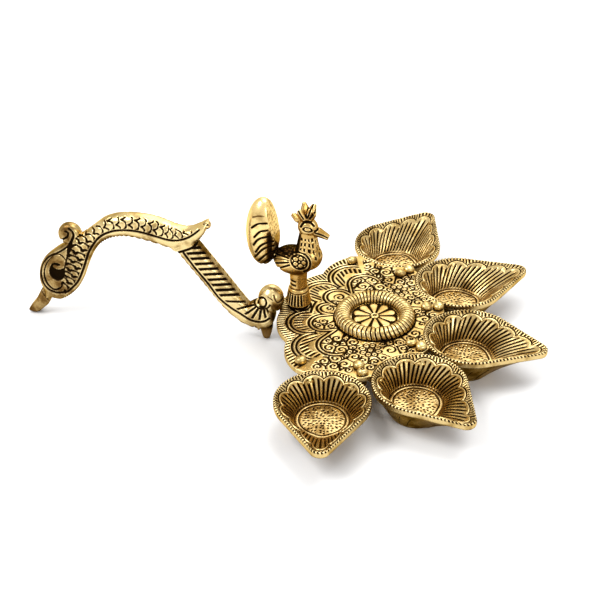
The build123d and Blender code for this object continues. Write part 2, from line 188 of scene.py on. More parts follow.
def follow(path: Array, x: Array, y: Array) -> tuple[Array, Array]:
    """Measure points against a path.

    Args:
        path: The path's points, one row each.
        x: First coordinate of each point.
        y: Second coordinate of each point.

    Returns:
        How far along the path each point's foot is, and its distance, positive to the left.
    """
    nearest = np.full(x.shape, np.inf)
    run = np.zeros(x.shape)
    start = 0.0
    for (ax, ay), (bx, by) in zip(path, path[1:]):
        ux, uy = bx - ax, by - ay
        length = math.hypot(ux, uy)
        share = np.clip(((x - ax) * ux + (y - ay) * uy) / length**2, 0, 1)
        dx, dy = x - ax - share * ux, y - ay - share * uy
        distance = np.hypot(dx, dy)
        closer = distance < np.abs(nearest)
        side = np.where(ux * dy - uy * dx < 0, -1.0, 1.0)
        nearest = np.where(closer, distance * side, nearest)
        run = np.where(closer, start + share * length, run)
        start += length
    return run, nearest


def discs(x: Array, y: Array, circles: Sequence[Circle], pull: float = 0.0) -> Array:
    """Measure points against several discs.

    Args:
        x: First coordinate of each point.
        y: Second coordinate of each point.
        circles: The discs' middles and radii.
        pull: The share of the way to nought that each disc is drawn out over.

    Returns:
        The distance outside the nearest disc, negative inside it.
    """
    gaps = []
    for cx, cy, radius in circles:
        share = 1 - (x * cx + y * cy) / max(cx * cx + cy * cy, 1e-9)
        left = 1 - np.clip(share, 0, pull)
        gaps.append(np.hypot(x - cx * left, y - cy * left) - radius)
    return np.min(gaps, axis=0)


@dataclass(frozen=True)
class Curl:
    """A small scroll cut as a spiral line."""

    x: float
    y: float
    radius: float
    start: float = 0.0
    hand: int = 1
    pitch: float = 1.9
    half_width: float = 0.44
    fade: float = 0.2

    def cut(self, x: Array, y: Array) -> Array:
        """Draw the curl.

        Args:
            x: First coordinate of each point.
            y: Second coordinate of each point.

        Returns:
            1 along the curl's line, 0 away from it.
        """
        dx, dy = x - self.x, y - self.y
        reach = np.hypot(dx, dy)
        turn = self.hand * np.arctan2(dy, dx) / TAU + self.start
        line = stroke(ripple(reach / self.pitch - turn) * self.pitch, self.half_width)
        return line * (1 - ease(self.radius - self.fade, self.radius + self.fade, reach))


@dataclass(frozen=True)
class Leaf:
    """A leaf outline: a round rear, two straight sides and a rounded tip on +X, at one height."""

    radius: float
    shift: float
    nose: float
    tip_round: float
    z: float = 0.0

    def outline(self, across: Array) -> Array:
        """Walk round the leaf.

        Args:
            across: Share of the way round, from the middle of the rear.

        Returns:
            Plan points, one row each.
        """
        tip = self.shift + self.radius + self.nose
        reach = tip - self.tip_round
        turn = math.acos((self.radius - self.tip_round) / (reach - self.shift))
        rear = self.radius * (math.pi - turn)
        side = (reach - self.shift) * math.sin(turn)
        front = self.tip_round * turn
        total = rear + side + front
        run = (1 - np.abs(1 - 2 * across)) * total
        at_rear = math.pi - np.minimum(run, rear) / self.radius
        at_front = turn - np.clip(run - rear - side, 0, front) / self.tip_round
        slide = np.clip((run - rear) / side, 0, 1)
        lean = np.where(run < rear, at_rear, at_front)
        middle = np.where(run < rear, 0, slide)
        radius = self.radius + (self.tip_round - self.radius) * middle
        x = self.shift + (reach - self.shift) * middle + radius * np.cos(lean)
        y = radius * np.sin(lean) * np.where(across < 0.5, 1, -1)
        return np.stack([x, y], axis=1)


def bend(low: Array, middle: Array, high: Array, share: Array) -> Array:
    """Run a smooth line through three rows of points: at 0, at a half and at 1."""
    t = share[:, None]
    return low * (1 - t) * (1 - 2 * t) + middle * 4 * t * (1 - t) + high * t * (2 * t - 1)


# Meshes


@dataclass(frozen=True)
class Datum:
    """Where the lamp's nought lies in the frame, in metres."""

    x: float
    y: float
    z: float

    @classmethod
    def from_frame(cls) -> "Datum":
        """Take the middle of the rosette, on the plate's top."""
        low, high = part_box("rosette")
        return cls((low.x + high.x) / 2, (low.y + high.y) / 2, low.z)

    def metres(self, points: Array) -> Array:
        """Return points in the frame's metres."""
        return points / METRE + (self.x, self.y, self.z)


@dataclass
class Surface:
    """A mesh as arrays, for relief that is worked on all of its points at once."""

    mesh: Mesh

    def points(self) -> Array:
        """Return the vertices' places."""
        flat = np.empty(len(self.mesh.vertices) * 3, np.float32)
        self.mesh.vertices.foreach_get("co", flat)
        return flat.reshape(-1, 3).astype(float)

    def move(self, points: Array) -> None:
        """Put the vertices in new places."""
        self.mesh.vertices.foreach_set("co", points.astype(np.float32).ravel())
        self.mesh.update()

    def normals(self) -> Array:
        """Return the vertices' outward directions."""
        flat = np.empty(len(self.mesh.vertices) * 3, np.float32)
        self.mesh.vertex_normals.foreach_get("vector", flat)
        return flat.reshape(-1, 3).astype(float)

    def edges(self) -> Array:
        """Return each edge's two vertices."""
        flat = np.empty(len(self.mesh.edges) * 2, np.int32)
        self.mesh.edges.foreach_get("vertices", flat)
        return flat.reshape(-1, 2)

    def around(self, values: Array, edges: Array) -> Array:
        """Average what each vertex's neighbours hold.

        Args:
            values: One row or number for each vertex.
            edges: Each edge's two vertices.

        Returns:
            The neighbours' averages.
        """
        ends = np.concatenate([edges[:, 0], edges[:, 1]])
        others = np.concatenate([edges[:, 1], edges[:, 0]])
        size = len(self.mesh.vertices)
        count = np.maximum(np.bincount(ends, minlength=size), 1)
        columns = values.reshape(size, -1).T
        sums = [np.bincount(ends, weights=column[others], minlength=size) / count for column in columns]
        return np.stack(sums, axis=1).reshape(values.shape)

    def relax(self, rounds: int) -> None:
        """Draw every vertex half way to its neighbours' middle, several times."""
        edges = self.edges()
        points = self.points()
        for _ in range(rounds):
            points = 0.5 * (points + self.around(points, edges))
        self.move(points)

    def hollows(self, rounds: int) -> Array:
        """Find where patina settles.

        Args:
            rounds: How far the result is spread.

        Returns:
            How far each vertex lies below its neighbours, over their distance; negative on crests.
        """
        edges = self.edges()
        points = self.points()
        lift = np.sum((self.around(points, edges) - points) * self.normals(), axis=1)
        spans = np.linalg.norm(points[edges[:, 0]] - points[edges[:, 1]], axis=1)
        depth = lift / spans.mean()
        for _ in range(rounds):
            depth = 0.5 * (depth + self.around(depth, edges))
        return depth

    def paint(self, name: str, values: Array) -> None:
        """Keep a number for each vertex under a name."""
        attribute = self.mesh.attributes.get(name) or self.mesh.attributes.new(name, "FLOAT", "POINT")
        attribute.data.foreach_set("value", np.clip(values, 0, 1).astype(np.float32))


def put(name: str, data: bpy.types.ID) -> Object:
    """Put an object with its data in the scene."""
    obj = bpy.data.objects.new(name, data)
    bpy.context.scene.collection.objects.link(obj)
    return obj


@dataclass
class Piece:
    """What a finished piece is called, rides on, stands for and is finished in."""

    name: str
    body: Body
    slot: Slot
    nodes: tuple[str, ...]
    material: Material

    def keep(self, mesh: Mesh) -> Object:
        """Put a finished mesh in the scene.

        Args:
            mesh: The mesh, in the frame's metres.

        Returns:
            The piece's object.
        """
        mesh.name = self.name
        mesh.materials.clear()
        mesh.materials.append(self.material)
        mesh.polygons.foreach_set("use_smooth", np.ones(len(mesh.polygons), bool))
        obj = put(self.name, mesh)
        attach(obj, self.body.value)
        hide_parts(*self.nodes)
        log.info("%s: %d faces, rides on %s", self.name, len(mesh.polygons), self.body.value)
        return obj


def mesh_of(bm: BMesh, name: str) -> Mesh:
    """Turn a bmesh into a mesh and free it."""
    mesh = bpy.data.meshes.new(name)
    bm.to_mesh(mesh)
    bm.free()
    return mesh


def welded(mesh: Mesh) -> Mesh:
    """Close a mesh's seams and poles and turn its faces outwards."""
    bm = bmesh.new()
    bm.from_mesh(mesh)
    bmesh.ops.remove_doubles(bm, verts=bm.verts[:], dist=WELD)
    bmesh.ops.dissolve_degenerate(bm, dist=WELD / 10, edges=bm.edges[:])
    bmesh.ops.recalc_face_normals(bm, faces=bm.faces[:])
    bm.to_mesh(mesh)
    bm.free()
    return mesh


def skin(name: str, columns: int, rows: int, shape: Shape, datum: Datum) -> Mesh:
    """Lay a grid over a shape and close it.

    Args:
        name: The mesh's name.
        columns: Faces across the grid.
        rows: Faces along the grid.
        shape: Gives points in millimetres, and patina, for shares across and row numbers.
        datum: Where the lamp's nought lies.

    Returns:
        The closed mesh, in metres, with its patina.
    """
    bm = bmesh.new()
    bmesh.ops.create_grid(bm, x_segments=columns, y_segments=rows, size=0.5)
    mesh = mesh_of(bm, name)
    surface = Surface(mesh)
    flat = surface.points() + 0.5
    points, patina = shape(flat[:, 0], np.rint(flat[:, 1] * rows).astype(int))
    surface.paint("patina", patina)
    surface.move(datum.metres(points))
    return welded(mesh)


def weather(mesh: Mesh, rounds: int, low: float, high: float, brightened: Array | float = 0.0) -> None:
    """Darken a mesh's hollows with patina, paint shade on its faces that look down and brighten its crests.

    Args:
        mesh: The mesh, which may already have patina.
        rounds: How far a hollow's patina is spread.
        low: The depth at which darkening starts.
        high: The depth at which it is full.
        brightened: How far each vertex is made brighter besides: worn bright, and on the peacock's tail a
            painted highlight.
    """
    surface = Surface(mesh)
    # painted shade: faces that look down are browned, and this goes into the patina attribute
    under = UNDERSIDE_SHADE * ease(*UNDERSIDE_SHADE_LEAN, -surface.normals()[:, 2])
    depth = surface.hollows(rounds)
    held = np.zeros(len(mesh.vertices), np.float32)
    if "patina" in mesh.attributes:
        mesh.attributes["patina"].data.foreach_get("value", held)
    surface.paint("patina", np.maximum.reduce([held, ease(low, high, depth), under]))
    # brightness kept for each vertex: worn crests, and on the peacock's tail a painted highlight
    surface.paint("polish_and_highlight", np.maximum(ease(low, high, -depth), brightened))


def newer(bm: BMesh, before: set) -> list:
    """Return the vertices that weren't there before."""
    return [v for v in bm.verts if v not in before]


def faces_on(verts: Sequence) -> list:
    """Return the faces on some vertices, each once."""
    return list(dict.fromkeys(f for v in verts for f in v.link_faces))


def joined(verts: Sequence) -> list:
    """Return some vertices with the edges and faces on them."""
    return [*verts, *dict.fromkeys(e for v in verts for e in v.link_edges), *faces_on(verts)]


def turned(bm: BMesh, profile: Sequence[Plan], steps: int, at: Point) -> list:
    """Turn a profile about an upright axis.

    Args:
        bm: Where the form goes.
        profile: Points of radius and height, from the axis to the axis.
        steps: Faces round the axis.
        at: The axis' place.

    Returns:
        The form's vertices.
    """
    before = set(bm.verts)
    verts = [bm.verts.new((radius, 0, height)) for radius, height in profile]
    edges = [bm.edges.new(pair) for pair in zip(verts, verts[1:])]
    bmesh.ops.spin(
        bm, geom=verts + edges, cent=(0, 0, 0), axis=(0, 0, 1), angle=TAU, steps=steps, use_merge=True
    )
    bmesh.ops.remove_doubles(bm, verts=newer(bm, before), dist=SEAM)
    made = newer(bm, before)
    bmesh.ops.translate(bm, verts=made, vec=at)
    return made


def pillow(bm: BMesh, outline: Array, half_thick: float, rounding: float, steps: int = 6) -> list:
    """Thicken a flat outline into a bar with rounded edges, with less rounding at thin tips.

    Args:
        bm: Where the form goes.
        outline: The outline's points in order, one row each.
        half_thick: Half of the bar's thickness.
        rounding: The radius of its edges.
        steps: Faces round each edge.

    Returns:
        The form's vertices.
    """
    ahead, behind = np.roll(outline, -1, axis=0), np.roll(outline, 1, axis=0)
    run = ahead - behind
    run /= np.maximum(np.linalg.norm(run, axis=1, keepdims=True), 1e-9)
    area = np.sum(outline[:, 0] * ahead[:, 1] - ahead[:, 0] * outline[:, 1])
    inward = np.stack([-run[:, 1], run[:, 0]], axis=1) * math.copysign(1, area)
    gaps = outline[None] - outline[:, None]
    facing = np.einsum("ijk,ik->ij", gaps, inward)
    ball = np.sum(gaps**2, axis=2) / np.maximum(2 * facing, 1e-6)
    room = np.where(facing > 1e-3, ball, np.inf).min(axis=1)
    limit = np.minimum(rounding, TIP_SHARE * room)
    before = set(bm.verts)
    bmesh.ops.create_circle(bm, cap_ends=True, segments=len(outline), radius=1)
    verts = newer(bm, before)
    cap = verts[0].link_faces[0]
    for vert, (x, y) in zip(cap.verts, outline):
        vert.co = (x, y, 0)
    for k in range(steps + 1):
        turn = math.pi / 2 * k / steps
        cap = bmesh.ops.extrude_discrete_faces(bm, faces=[cap])["faces"][0]
        ring = outline + inward * (limit * (1 - math.cos(turn)))[:, None]
        heights = half_thick - limit * (1 - math.sin(turn))
        for vert, (x, y), height in zip(cap.verts, ring, heights):
            vert.co = (x, y, height)
    bmesh.ops.triangulate(bm, faces=[cap])
    bmesh.ops.mirror(bm, geom=joined(newer(bm, before)), axis="Z", merge_dist=SEAM)
    made = newer(bm, before)
    bmesh.ops.recalc_face_normals(bm, faces=faces_on(made))
    return made


def egg(bm: BMesh, radii: Point, at: Point) -> list:
    """Add an egg with three half sizes at a place, and return its vertices."""
    made = bmesh.ops.create_uvsphere(bm, u_segments=48, v_segments=32, radius=1)["verts"]
    bmesh.ops.scale(bm, verts=made, vec=radii)
    bmesh.ops.translate(bm, verts=made, vec=at)
    return made


def cone(bm: BMesh, low: float, high: float, length: float, place: Matrix) -> list:
    """Add a round taper that stands on a place's XY plane, and return its vertices."""
    made = bmesh.ops.create_cone(
        bm, cap_ends=True, segments=40, radius1=low, radius2=high, depth=length,
        matrix=place @ Matrix.Translation((0, 0, length / 2)),
    )
    return made["verts"]


def spun(degrees: float, axis: str) -> Matrix:
    """Return the turn by an angle about an axis."""
    return Matrix.Rotation(math.radians(degrees), 4, axis)


@dataclass
class Casting:
    """Forms run together into one skin, eased like a casting, and then cut with relief."""

    name: str
    voxel: float
    rounds: int

    def pour(self, bm: BMesh) -> Mesh:
        """Run the forms together.

        Args:
            bm: The closed forms, which is freed.

        Returns:
            One skin round all of them.
        """
        obj = put(self.name + "_pattern", mesh_of(bm, self.name + "_pattern"))
        remesh = obj.modifiers.new("pour", "REMESH")
        remesh.mode = "VOXEL"
        remesh.voxel_size = self.voxel
        ready = obj.evaluated_get(bpy.context.evaluated_depsgraph_get())
        mesh = bpy.data.meshes.new_from_object(ready)
        pattern = obj.data
        bpy.data.objects.remove(obj)
        bpy.data.meshes.remove(pattern)
        Surface(mesh).relax(self.rounds)
        return mesh

    def chase(self, mesh: Mesh, relief: Shape, place: Callable[[Array], Array]) -> None:
        """Cut relief into a poured skin and put it in the frame.

        Args:
            mesh: The skin, in millimetres.
            relief: Gives the depth of cut and the patina for points and outward directions.
            place: Turns the skin's millimetres into the frame's metres.
        """
        surface = Surface(mesh)
        points, normals = surface.points(), surface.normals()
        depth, patina = relief(points, normals)
        surface.paint("patina", patina)
        surface.move(place(points - normals * depth[:, None]))


# Shader maths


class Wire:
    """A shader value that arithmetic works on."""

    def __init__(self, graph: "Graph", socket: NodeSocket) -> None:
        """Hold a graph's output socket."""
        self.graph = graph
        self.socket = socket

    def _join(self, operation: str, first: "Wire | float", second: "Wire | float") -> "Wire":
        """Add the Math node of an operation."""
        return self.graph.node("ShaderNodeMath", {"operation": operation}, {0: first, 1: second})

    def __add__(self, other: "Wire | float") -> "Wire":
        """Add."""
        return self._join("ADD", self, other)

    def __radd__(self, other: float) -> "Wire":
        """Add to a number."""
        return self._join("ADD", other, self)

    def __sub__(self, other: "Wire | float") -> "Wire":
        """Subtract."""
        return self._join("SUBTRACT", self, other)

    def __rsub__(self, other: float) -> "Wire":
        """Subtract from a number."""
        return self._join("SUBTRACT", other, self)

    def __mul__(self, other: "Wire | float") -> "Wire":
        """Multiply."""
        return self._join("MULTIPLY", self, other)

    def __rmul__(self, other: float) -> "Wire":
        """Multiply a number."""
        return self._join("MULTIPLY", other, self)

    def at_most(self, other: "Wire | float") -> "Wire":
        """Return the lesser of two values."""
        return self._join("MINIMUM", self, other)

    def at_least(self, other: "Wire | float") -> "Wire":
        """Return the greater of two values."""
        return self._join("MAXIMUM", self, other)


class Graph:
    """A node tree that is written as expressions."""

    def __init__(self, tree: NodeTree) -> None:
        """Start from an empty tree."""
        self.tree = tree
        tree.nodes.clear()

    def node(
        self, kind: str, settings: dict | None = None, sockets: dict | None = None, output: int | str = 0
    ) -> Wire | None:
        """Add a node.

        Args:
            kind: The node's type.
            settings: What is set on the node, before its sockets.
            sockets: Values or wires for its inputs, by name or number.
            output: Which output is returned.

        Returns:
            The output, or nothing for a node that has none.
        """
        made = self.tree.nodes.new(kind)
        for key, value in (settings or {}).items():
            setattr(made, key, value)
        for key, value in (sockets or {}).items():
            if isinstance(value, Wire):
                self.tree.links.new(value.socket, made.inputs[key])
            else:
                made.inputs[key].default_value = value
        return Wire(self, made.outputs[output]) if len(made.outputs) else None

    def step(self, low: float, high: float, value: Wire) -> Wire:
        """Return a smooth step from 0 at low to 1 at high."""
        return self.node(
            "ShaderNodeMapRange", {"interpolation_type": "SMOOTHSTEP"},
            {"Value": value, "From Min": low, "From Max": high},
        )

    def mix(self, share: Wire, first: "Wire | Colour", second: "Wire | Colour") -> Wire:
        """Return a colour between two, by a share."""
        ends = [c if isinstance(c, Wire) else (*c, 1.0) for c in (first, second)]
        sockets = {0: share, 6: ends[0], 7: ends[1]}
        return self.node("ShaderNodeMix", {"data_type": "RGBA"}, sockets, output=2)

    def noise(self, where: Wire, scale: float, detail: float = 3.0) -> Wire:
        """Return cloudy noise, about a half, at a number of clouds to the metre."""
        return self.node("ShaderNodeTexNoise", None, {"Vector": where, "Scale": scale, "Detail": detail})

    def attribute(self, name: str) -> Wire:
        """Return a number that a piece keeps for each vertex."""
        return self.node("ShaderNodeAttribute", {"attribute_name": name}, None, output="Fac")

    def where(self) -> Wire:
        """Return each point's place on its piece, in metres."""
        return self.node("ShaderNodeTexCoord", None, None, output="Object")

    def bump(self, strength: float, distance: float, height: Wire) -> Wire:
        """Return the surface's direction with fine unevenness on it."""
        sockets = {"Strength": strength, "Distance": distance, "Height": height}
        return self.node("ShaderNodeBump", None, sockets)


def principled(name: str, sockets: Callable[[Graph], dict]) -> Material:
    """Make a material of one shader.

    Args:
        name: The material's name.
        sockets: Writes the nodes before the shader, and gives values or wires for its inputs.

    Returns:
        The material.
    """
    material = bpy.data.materials.new(name)
    material.use_nodes = True
    graph = Graph(material.node_tree)
    shader = graph.node("ShaderNodeBsdfPrincipled", None, sockets(graph))
    graph.node("ShaderNodeOutputMaterial", None, {"Surface": shader})
    return material


@dataclass(frozen=True)
class AgedGold:
    """Gold plate over a casting, worn bright on its crests, with black oxide left in its recesses, and with
    brown and black also painted as shade wherever the patina attribute carries it.
    """

    name: str
    gold: Colour = (0.44, 0.295, 0.10)
    bright: Colour = (0.90, 0.72, 0.36)
    brown: Colour = (0.13, 0.062, 0.014)
    oxide: Colour = (0.010, 0.005, 0.002)
    edge_tint: Colour = (0.85, 0.66, 0.38)
    rough: float = 0.26
    worn_rough: float = 0.08
    oxide_rough: float = 0.62
    cloud_scale: float = 130.0
    grain_scale: float = 1500.0
    grain_detail: float = 2.0
    grain_dirt: float = 0.3
    darkening_share: float = 0.204
    rubbing_and_painted_highlight: float = 0.35
    worn_at: Band = (0.42, 0.72)
    bright_at: Band = (0.1, 0.9)
    brown_at: Band = (0.05, 0.55)
    oxide_at: Band = (0.35, 0.8)
    dull_at: Band = (0.3, 0.85)
    bump_strength: float = 0.22
    bump_distance: float = 0.0003
    bump_grain: float = 0.7
    bump_cloud: float = 0.6

    def sockets(self, g: Graph) -> dict:
        """Write the finish's nodes and give the shader's inputs."""
        where = g.where()
        cloud = g.noise(where, self.cloud_scale)
        grain = g.noise(where, self.grain_scale, self.grain_detail)
        worn = g.step(*self.worn_at, cloud)
        # the patina attribute holds real patina and painted shade, so this browning and blackening is
        # partly painted shade
        dirt_and_shade = g.attribute("patina") + (grain - 0.5) * self.grain_dirt + worn * self.darkening_share
        dirt_and_shade = dirt_and_shade.at_least(0.0)
        # brighter where worn, and on the peacock's tail a painted highlight
        polish_and_highlight = g.step(*self.bright_at, g.attribute("polish_and_highlight") + (1 - worn) * self.rubbing_and_painted_highlight)
        metal = g.mix(polish_and_highlight, self.gold, self.bright)
        tarnish_and_shade = g.mix(g.step(*self.brown_at, dirt_and_shade), metal, self.brown)
        black = g.step(*self.dull_at, dirt_and_shade)
        height = grain * self.bump_grain + cloud * self.bump_cloud
        return {
            "Base Color": g.mix(g.step(*self.oxide_at, dirt_and_shade), tarnish_and_shade, self.oxide),
            "Metallic": 1.0,
            "Specular Tint": (*self.edge_tint, 1.0),
            "Roughness": self.rough + worn * self.worn_rough + black * (self.oxide_rough - self.rough),
            "Normal": g.bump(self.bump_strength, self.bump_distance, height),
        }

    def make(self) -> Material:
        """Make the finish's material."""
        return principled(self.name, self.sockets)


@dataclass(frozen=True)
class PlainSteel:
    """Steel with faint tool marks."""

    name: str = "plain_steel"
    colour: Colour = (0.56, 0.56, 0.57)
    shade: Colour = (0.40, 0.39, 0.38)
    shade_at: Band = (0.35, 0.7)
    rough: float = 0.34
    mark_rough: float = 0.12
    mark_scale: float = 900.0
    bump_strength: float = 0.15
    bump_distance: float = 0.0002

    def sockets(self, g: Graph) -> dict:
        """Write the finish's nodes and give the shader's inputs."""
        marks = g.noise(g.where(), self.mark_scale)
        return {
            "Base Color": g.mix(g.step(*self.shade_at, marks), self.colour, self.shade),
            "Metallic": 1.0,
            "Roughness": self.rough + marks * self.mark_rough,
            "Normal": g.bump(self.bump_strength, self.bump_distance, marks),
        }

    def make(self) -> Material:
        """Make the finish's material."""
        return principled(self.name, self.sockets)


# The lamp's pieces


@dataclass(frozen=True)
class Fan:
    """Where the bowls and their rivets stand round the plate."""

    angles: tuple[float, ...] = (75.6, 37.8, -0.6, -37.3, -75.4)
    ring_edge: float = 20.7
    ring_gap: float = 6.157
    bowl_gap: float = 0.5
    rim_radius: float = 23.6
    rim_shift: float = 2.0
    inner_setback: float = 22.3
    outer_setback: float = 16.3
    end_setback: float = 26.3
    end_turn: float = 14.5

    @property
    def radius(self) -> float:
        """The bowls' distance from the fan's middle."""
        least = min(a - b for a, b in zip(self.angles, self.angles[1:]))
        return (self.rim_radius + self.bowl_gap / 2) / math.sin(math.radians(least / 2)) - self.rim_shift

    @property
    def middle_x(self) -> float:
        """The fan's middle, on the X axis."""
        return self.ring_edge + self.ring_gap + self.rim_radius - self.rim_shift - self.radius

    def rim_circle(self, index: int) -> Circle:
        """Return the middle and radius of a bowl's round rear."""
        return (*polar(self.radius + self.rim_shift, self.angles[index], self.middle_x), self.rim_radius)

    def rivets(self) -> list[tuple[int, Plan]]:
        """List the rivets' places.

        Returns:
            Each rivet's bowl and plan position.
        """
        last = len(self.angles) - 1
        end = self.radius - self.end_setback
        spots = [(0, polar(end, self.angles[0] + self.end_turn, self.middle_x))]
        for i in range(last):
            middle = (self.angles[i] + self.angles[i + 1]) / 2
            spots.append((i, polar(self.radius - self.inner_setback, middle, self.middle_x)))
            spots.append((i + 1, polar(self.radius - self.outer_setback, middle, self.middle_x)))
        spots.append((last, polar(end, self.angles[last] - self.end_turn, self.middle_x)))
        return spots


def circle_through(a: Plan, b: Plan, c: Plan) -> Circle:
    """Return the middle and radius of the circle through three points."""
    rows = np.array([[b[0] - a[0], b[1] - a[1]], [c[0] - a[0], c[1] - a[1]]])
    halves = np.array([np.dot(rows[0], rows[0]), np.dot(rows[1], rows[1])]) / 2
    x, y = np.linalg.solve(rows, halves)
    return (a[0] + x, a[1] + y, math.hypot(x, y))


def ray_to_circle(angle: Array, circle: Circle, far: bool) -> Array:
    """Measure rays from nought to a circle.

    Args:
        angle: Each ray's direction, in radians.
        circle: The circle's middle and radius.
        far: Whether the far side of the circle is meant.

    Returns:
        The distance along each ray, or infinity where it misses.
    """
    cx, cy, radius = circle
    along = cx * np.cos(angle) + cy * np.sin(angle)
    square = along**2 - cx**2 - cy**2 + radius**2
    reach = along + (1 if far else -1) * np.sqrt(np.maximum(square, 0))
    return np.where((square >= 0) & (reach > 0), reach, np.inf)


def ray_to_line(angle: Array, a: Plan, b: Plan) -> Array:
    """Return the distance along rays from nought to the line through two points."""
    ux, uy = b[0] - a[0], b[1] - a[1]
    return (a[0] * uy - a[1] * ux) / (np.cos(angle) * uy - np.sin(angle) * ux)


@dataclass
class Plate:
    """The lobed plate with its engraved scallops, dashes, curls and flowers."""

    fan: Fan
    thick: float = 3.0
    lobe_radius: float = 50.6
    lobe_depth: float = 1.6
    middle_half: float = 9.5
    side_half: float = 15.5
    shoulder_rise: float = 5.8
    shoulder_turn: float = 13.0
    shoulder_margin: float = 5.7
    shoulder_end_turn: float = 2.7
    web_setback: float = 13.3
    fit_gap: float = 0.15
    core: float = 20.0
    core_rows: int = 4
    columns: int = 800
    top_rows: int = 98
    edge_round: float = 0.5
    edge_rows: int = 3
    side_shares: tuple = (0.4, 0.6, 0.85)
    under_shares: tuple = (1.0, 0.7, 0.35, 0.0)
    depth: float = 0.5
    outer_scallops: tuple[Circle, ...] = (
        (-31.43, 14.0, 11.2), (-31.43, -14.0, 11.2), (-38.75, 0.0, 6.45),
        (-20.5, 32.5, 13.2), (-20.5, -32.5, 13.2), (0.0, 0.0, 35.5),
    )
    inner_scallops: tuple[Circle, ...] = (
        (-23.2, 12.6, 7.7), (-23.8, -12.1, 7.7), (-25.8, 0.8, 5.3),
        (-12.9, 28.7, 9.3), (-12.9, -28.7, 9.3), (0.0, 0.0, 21.5),
    )
    scallop_lines: tuple[Band, ...] = ((0.0, 0.58), (2.2, 0.55))
    petal_lines: tuple[Band, ...] = ((0.0, 0.56), (2.0, 0.5))
    petal_pull: float = 0.5
    petal_margin: float = 2.4
    petal_gap: float = 0.9
    band_inner: float = 8.7
    curl_seed: int = 5
    curl_tries: int = 7000
    curl_field: tuple[Band, Band] = ((-34, 44), (-50, 50))
    curl_sizes: Band = (3.1, 1.2)
    curl_falloff: float = 0.6
    curl_overlap: float = 0.1
    least_pitch: float = 1.7
    pitch_share: float = 0.78
    first_curls: tuple[Circle, ...] = (
        (14.6, -24.6, 3.6), (-13.5, 26.5, 3.0), (-24.0, -10.6, 2.6), (-13.6, -23.0, 2.6),
    )
    between_half: float = 0.38
    flower: Plan = (5.2, -27.6)
    flower_petals: int = 8
    flower_reach: float = 4.1
    flower_petal: float = 1.75
    flower_squeeze: float = 1.15
    flower_eye: float = 1.6
    flower_edge: float = 6.4
    flower_room: float = 6.3
    knob_room: float = 3.0
    edge_room: float = 0.5
    ring_room: float = 0.3
    shoulder_room: float = 9.0
    scroll_start: float = -7.0
    shoulder_start: float = math.radians(112.0)
    milled_end: Band = (63, 66)
    dash_end: Band = (64, 68)
    mill_pitch: float = 2.0
    mill_half: float = 0.46
    dash_pitch: float = 3.2
    dash_span: float = 2.15
    dash_half: float = 0.52
    foot_half: float = 0.6

    def edge(self, angle: Array) -> Array:
        """Measure the plate's outline.

        Args:
            angle: Directions from the ring's middle, in radians, from -pi to pi.

        Returns:
            The plate's edge along each direction.
        """
        away = 180 - np.degrees(np.abs(angle))
        cusp = self.lobe_radius - self.lobe_depth
        inner, outer = self.middle_half, self.middle_half + 2 * self.side_half
        shoulder = outer + self.shoulder_turn
        found = ray_to_circle(angle, (self.fan.middle_x, 0, self.fan.radius - self.web_setback), True)
        ends = (self.fan.rivets()[0][1], self.fan.rivets()[-1][1])
        for sign, rivet, bowl in zip((1, -1), ends, (0, len(self.fan.angles) - 1)):
            here = angle * sign >= 0

            def spot(radius: float, turn: float) -> Plan:
                """Return a point at a turn from the handle's side."""
                return polar(radius, sign * (180 - turn))

            margin = math.hypot(*rivet) + self.shoulder_margin
            end_turn = 180 - abs(math.degrees(math.atan2(rivet[1], rivet[0]))) + self.shoulder_end_turn
            web = polar(self.fan.radius - self.web_setback, self.fan.angles[bowl], self.fan.middle_x)
            web_turn = 180 - abs(math.degrees(math.atan2(web[1], web[0])))
            middle = circle_through(spot(cusp, inner), spot(self.lobe_radius, 0), spot(cusp, -inner))
            lobe = circle_through(
                spot(cusp, inner), spot(self.lobe_radius, inner + self.side_half), spot(cusp, outer)
            )
            peak, end = spot(self.lobe_radius + self.shoulder_rise, shoulder), spot(margin, end_turn)
            hump = circle_through(spot(cusp, outer), peak, end)
            found = np.where(here & (away < web_turn), ray_to_line(angle, end, web), found)
            found = np.where(here & (away < end_turn), ray_to_circle(angle, hump, True), found)
            found = np.where(here & (away < outer), ray_to_circle(angle, lobe, True), found)
            found = np.where(here & (away < inner), ray_to_circle(angle, middle, True), found)
        for i in range(len(self.fan.angles)):
            x, y, radius = self.fan.rim_circle(i)
            found = np.minimum(found, ray_to_circle(angle, (x, y, radius + self.fit_gap), False))
        return found

    def stations(self) -> Array:
        """List the grid's rows.

        Returns:
            For each row its core radius, share of the way to the edge, inset and drop.
        """
        core, n, rounding = self.core, self.top_rows, self.edge_round
        rows = [(core * k / self.core_rows, 0, 0, 0) for k in range(self.core_rows)]
        rows += [(core, k / n, rounding * k / n, 0) for k in range(n)]
        for k in range(self.edge_rows + 1):
            turn = math.pi / 2 * k / self.edge_rows
            rows.append((core, 1, rounding * (1 - math.sin(turn)), rounding * (1 - math.cos(turn))))
        rows += [(core, 1, 0, self.thick * share) for share in self.side_shares]
        rows += [(core, share, rounding, self.thick) for share in self.under_shares]
        rows += [(0, 0, 0, self.thick)]
        return np.array(rows)

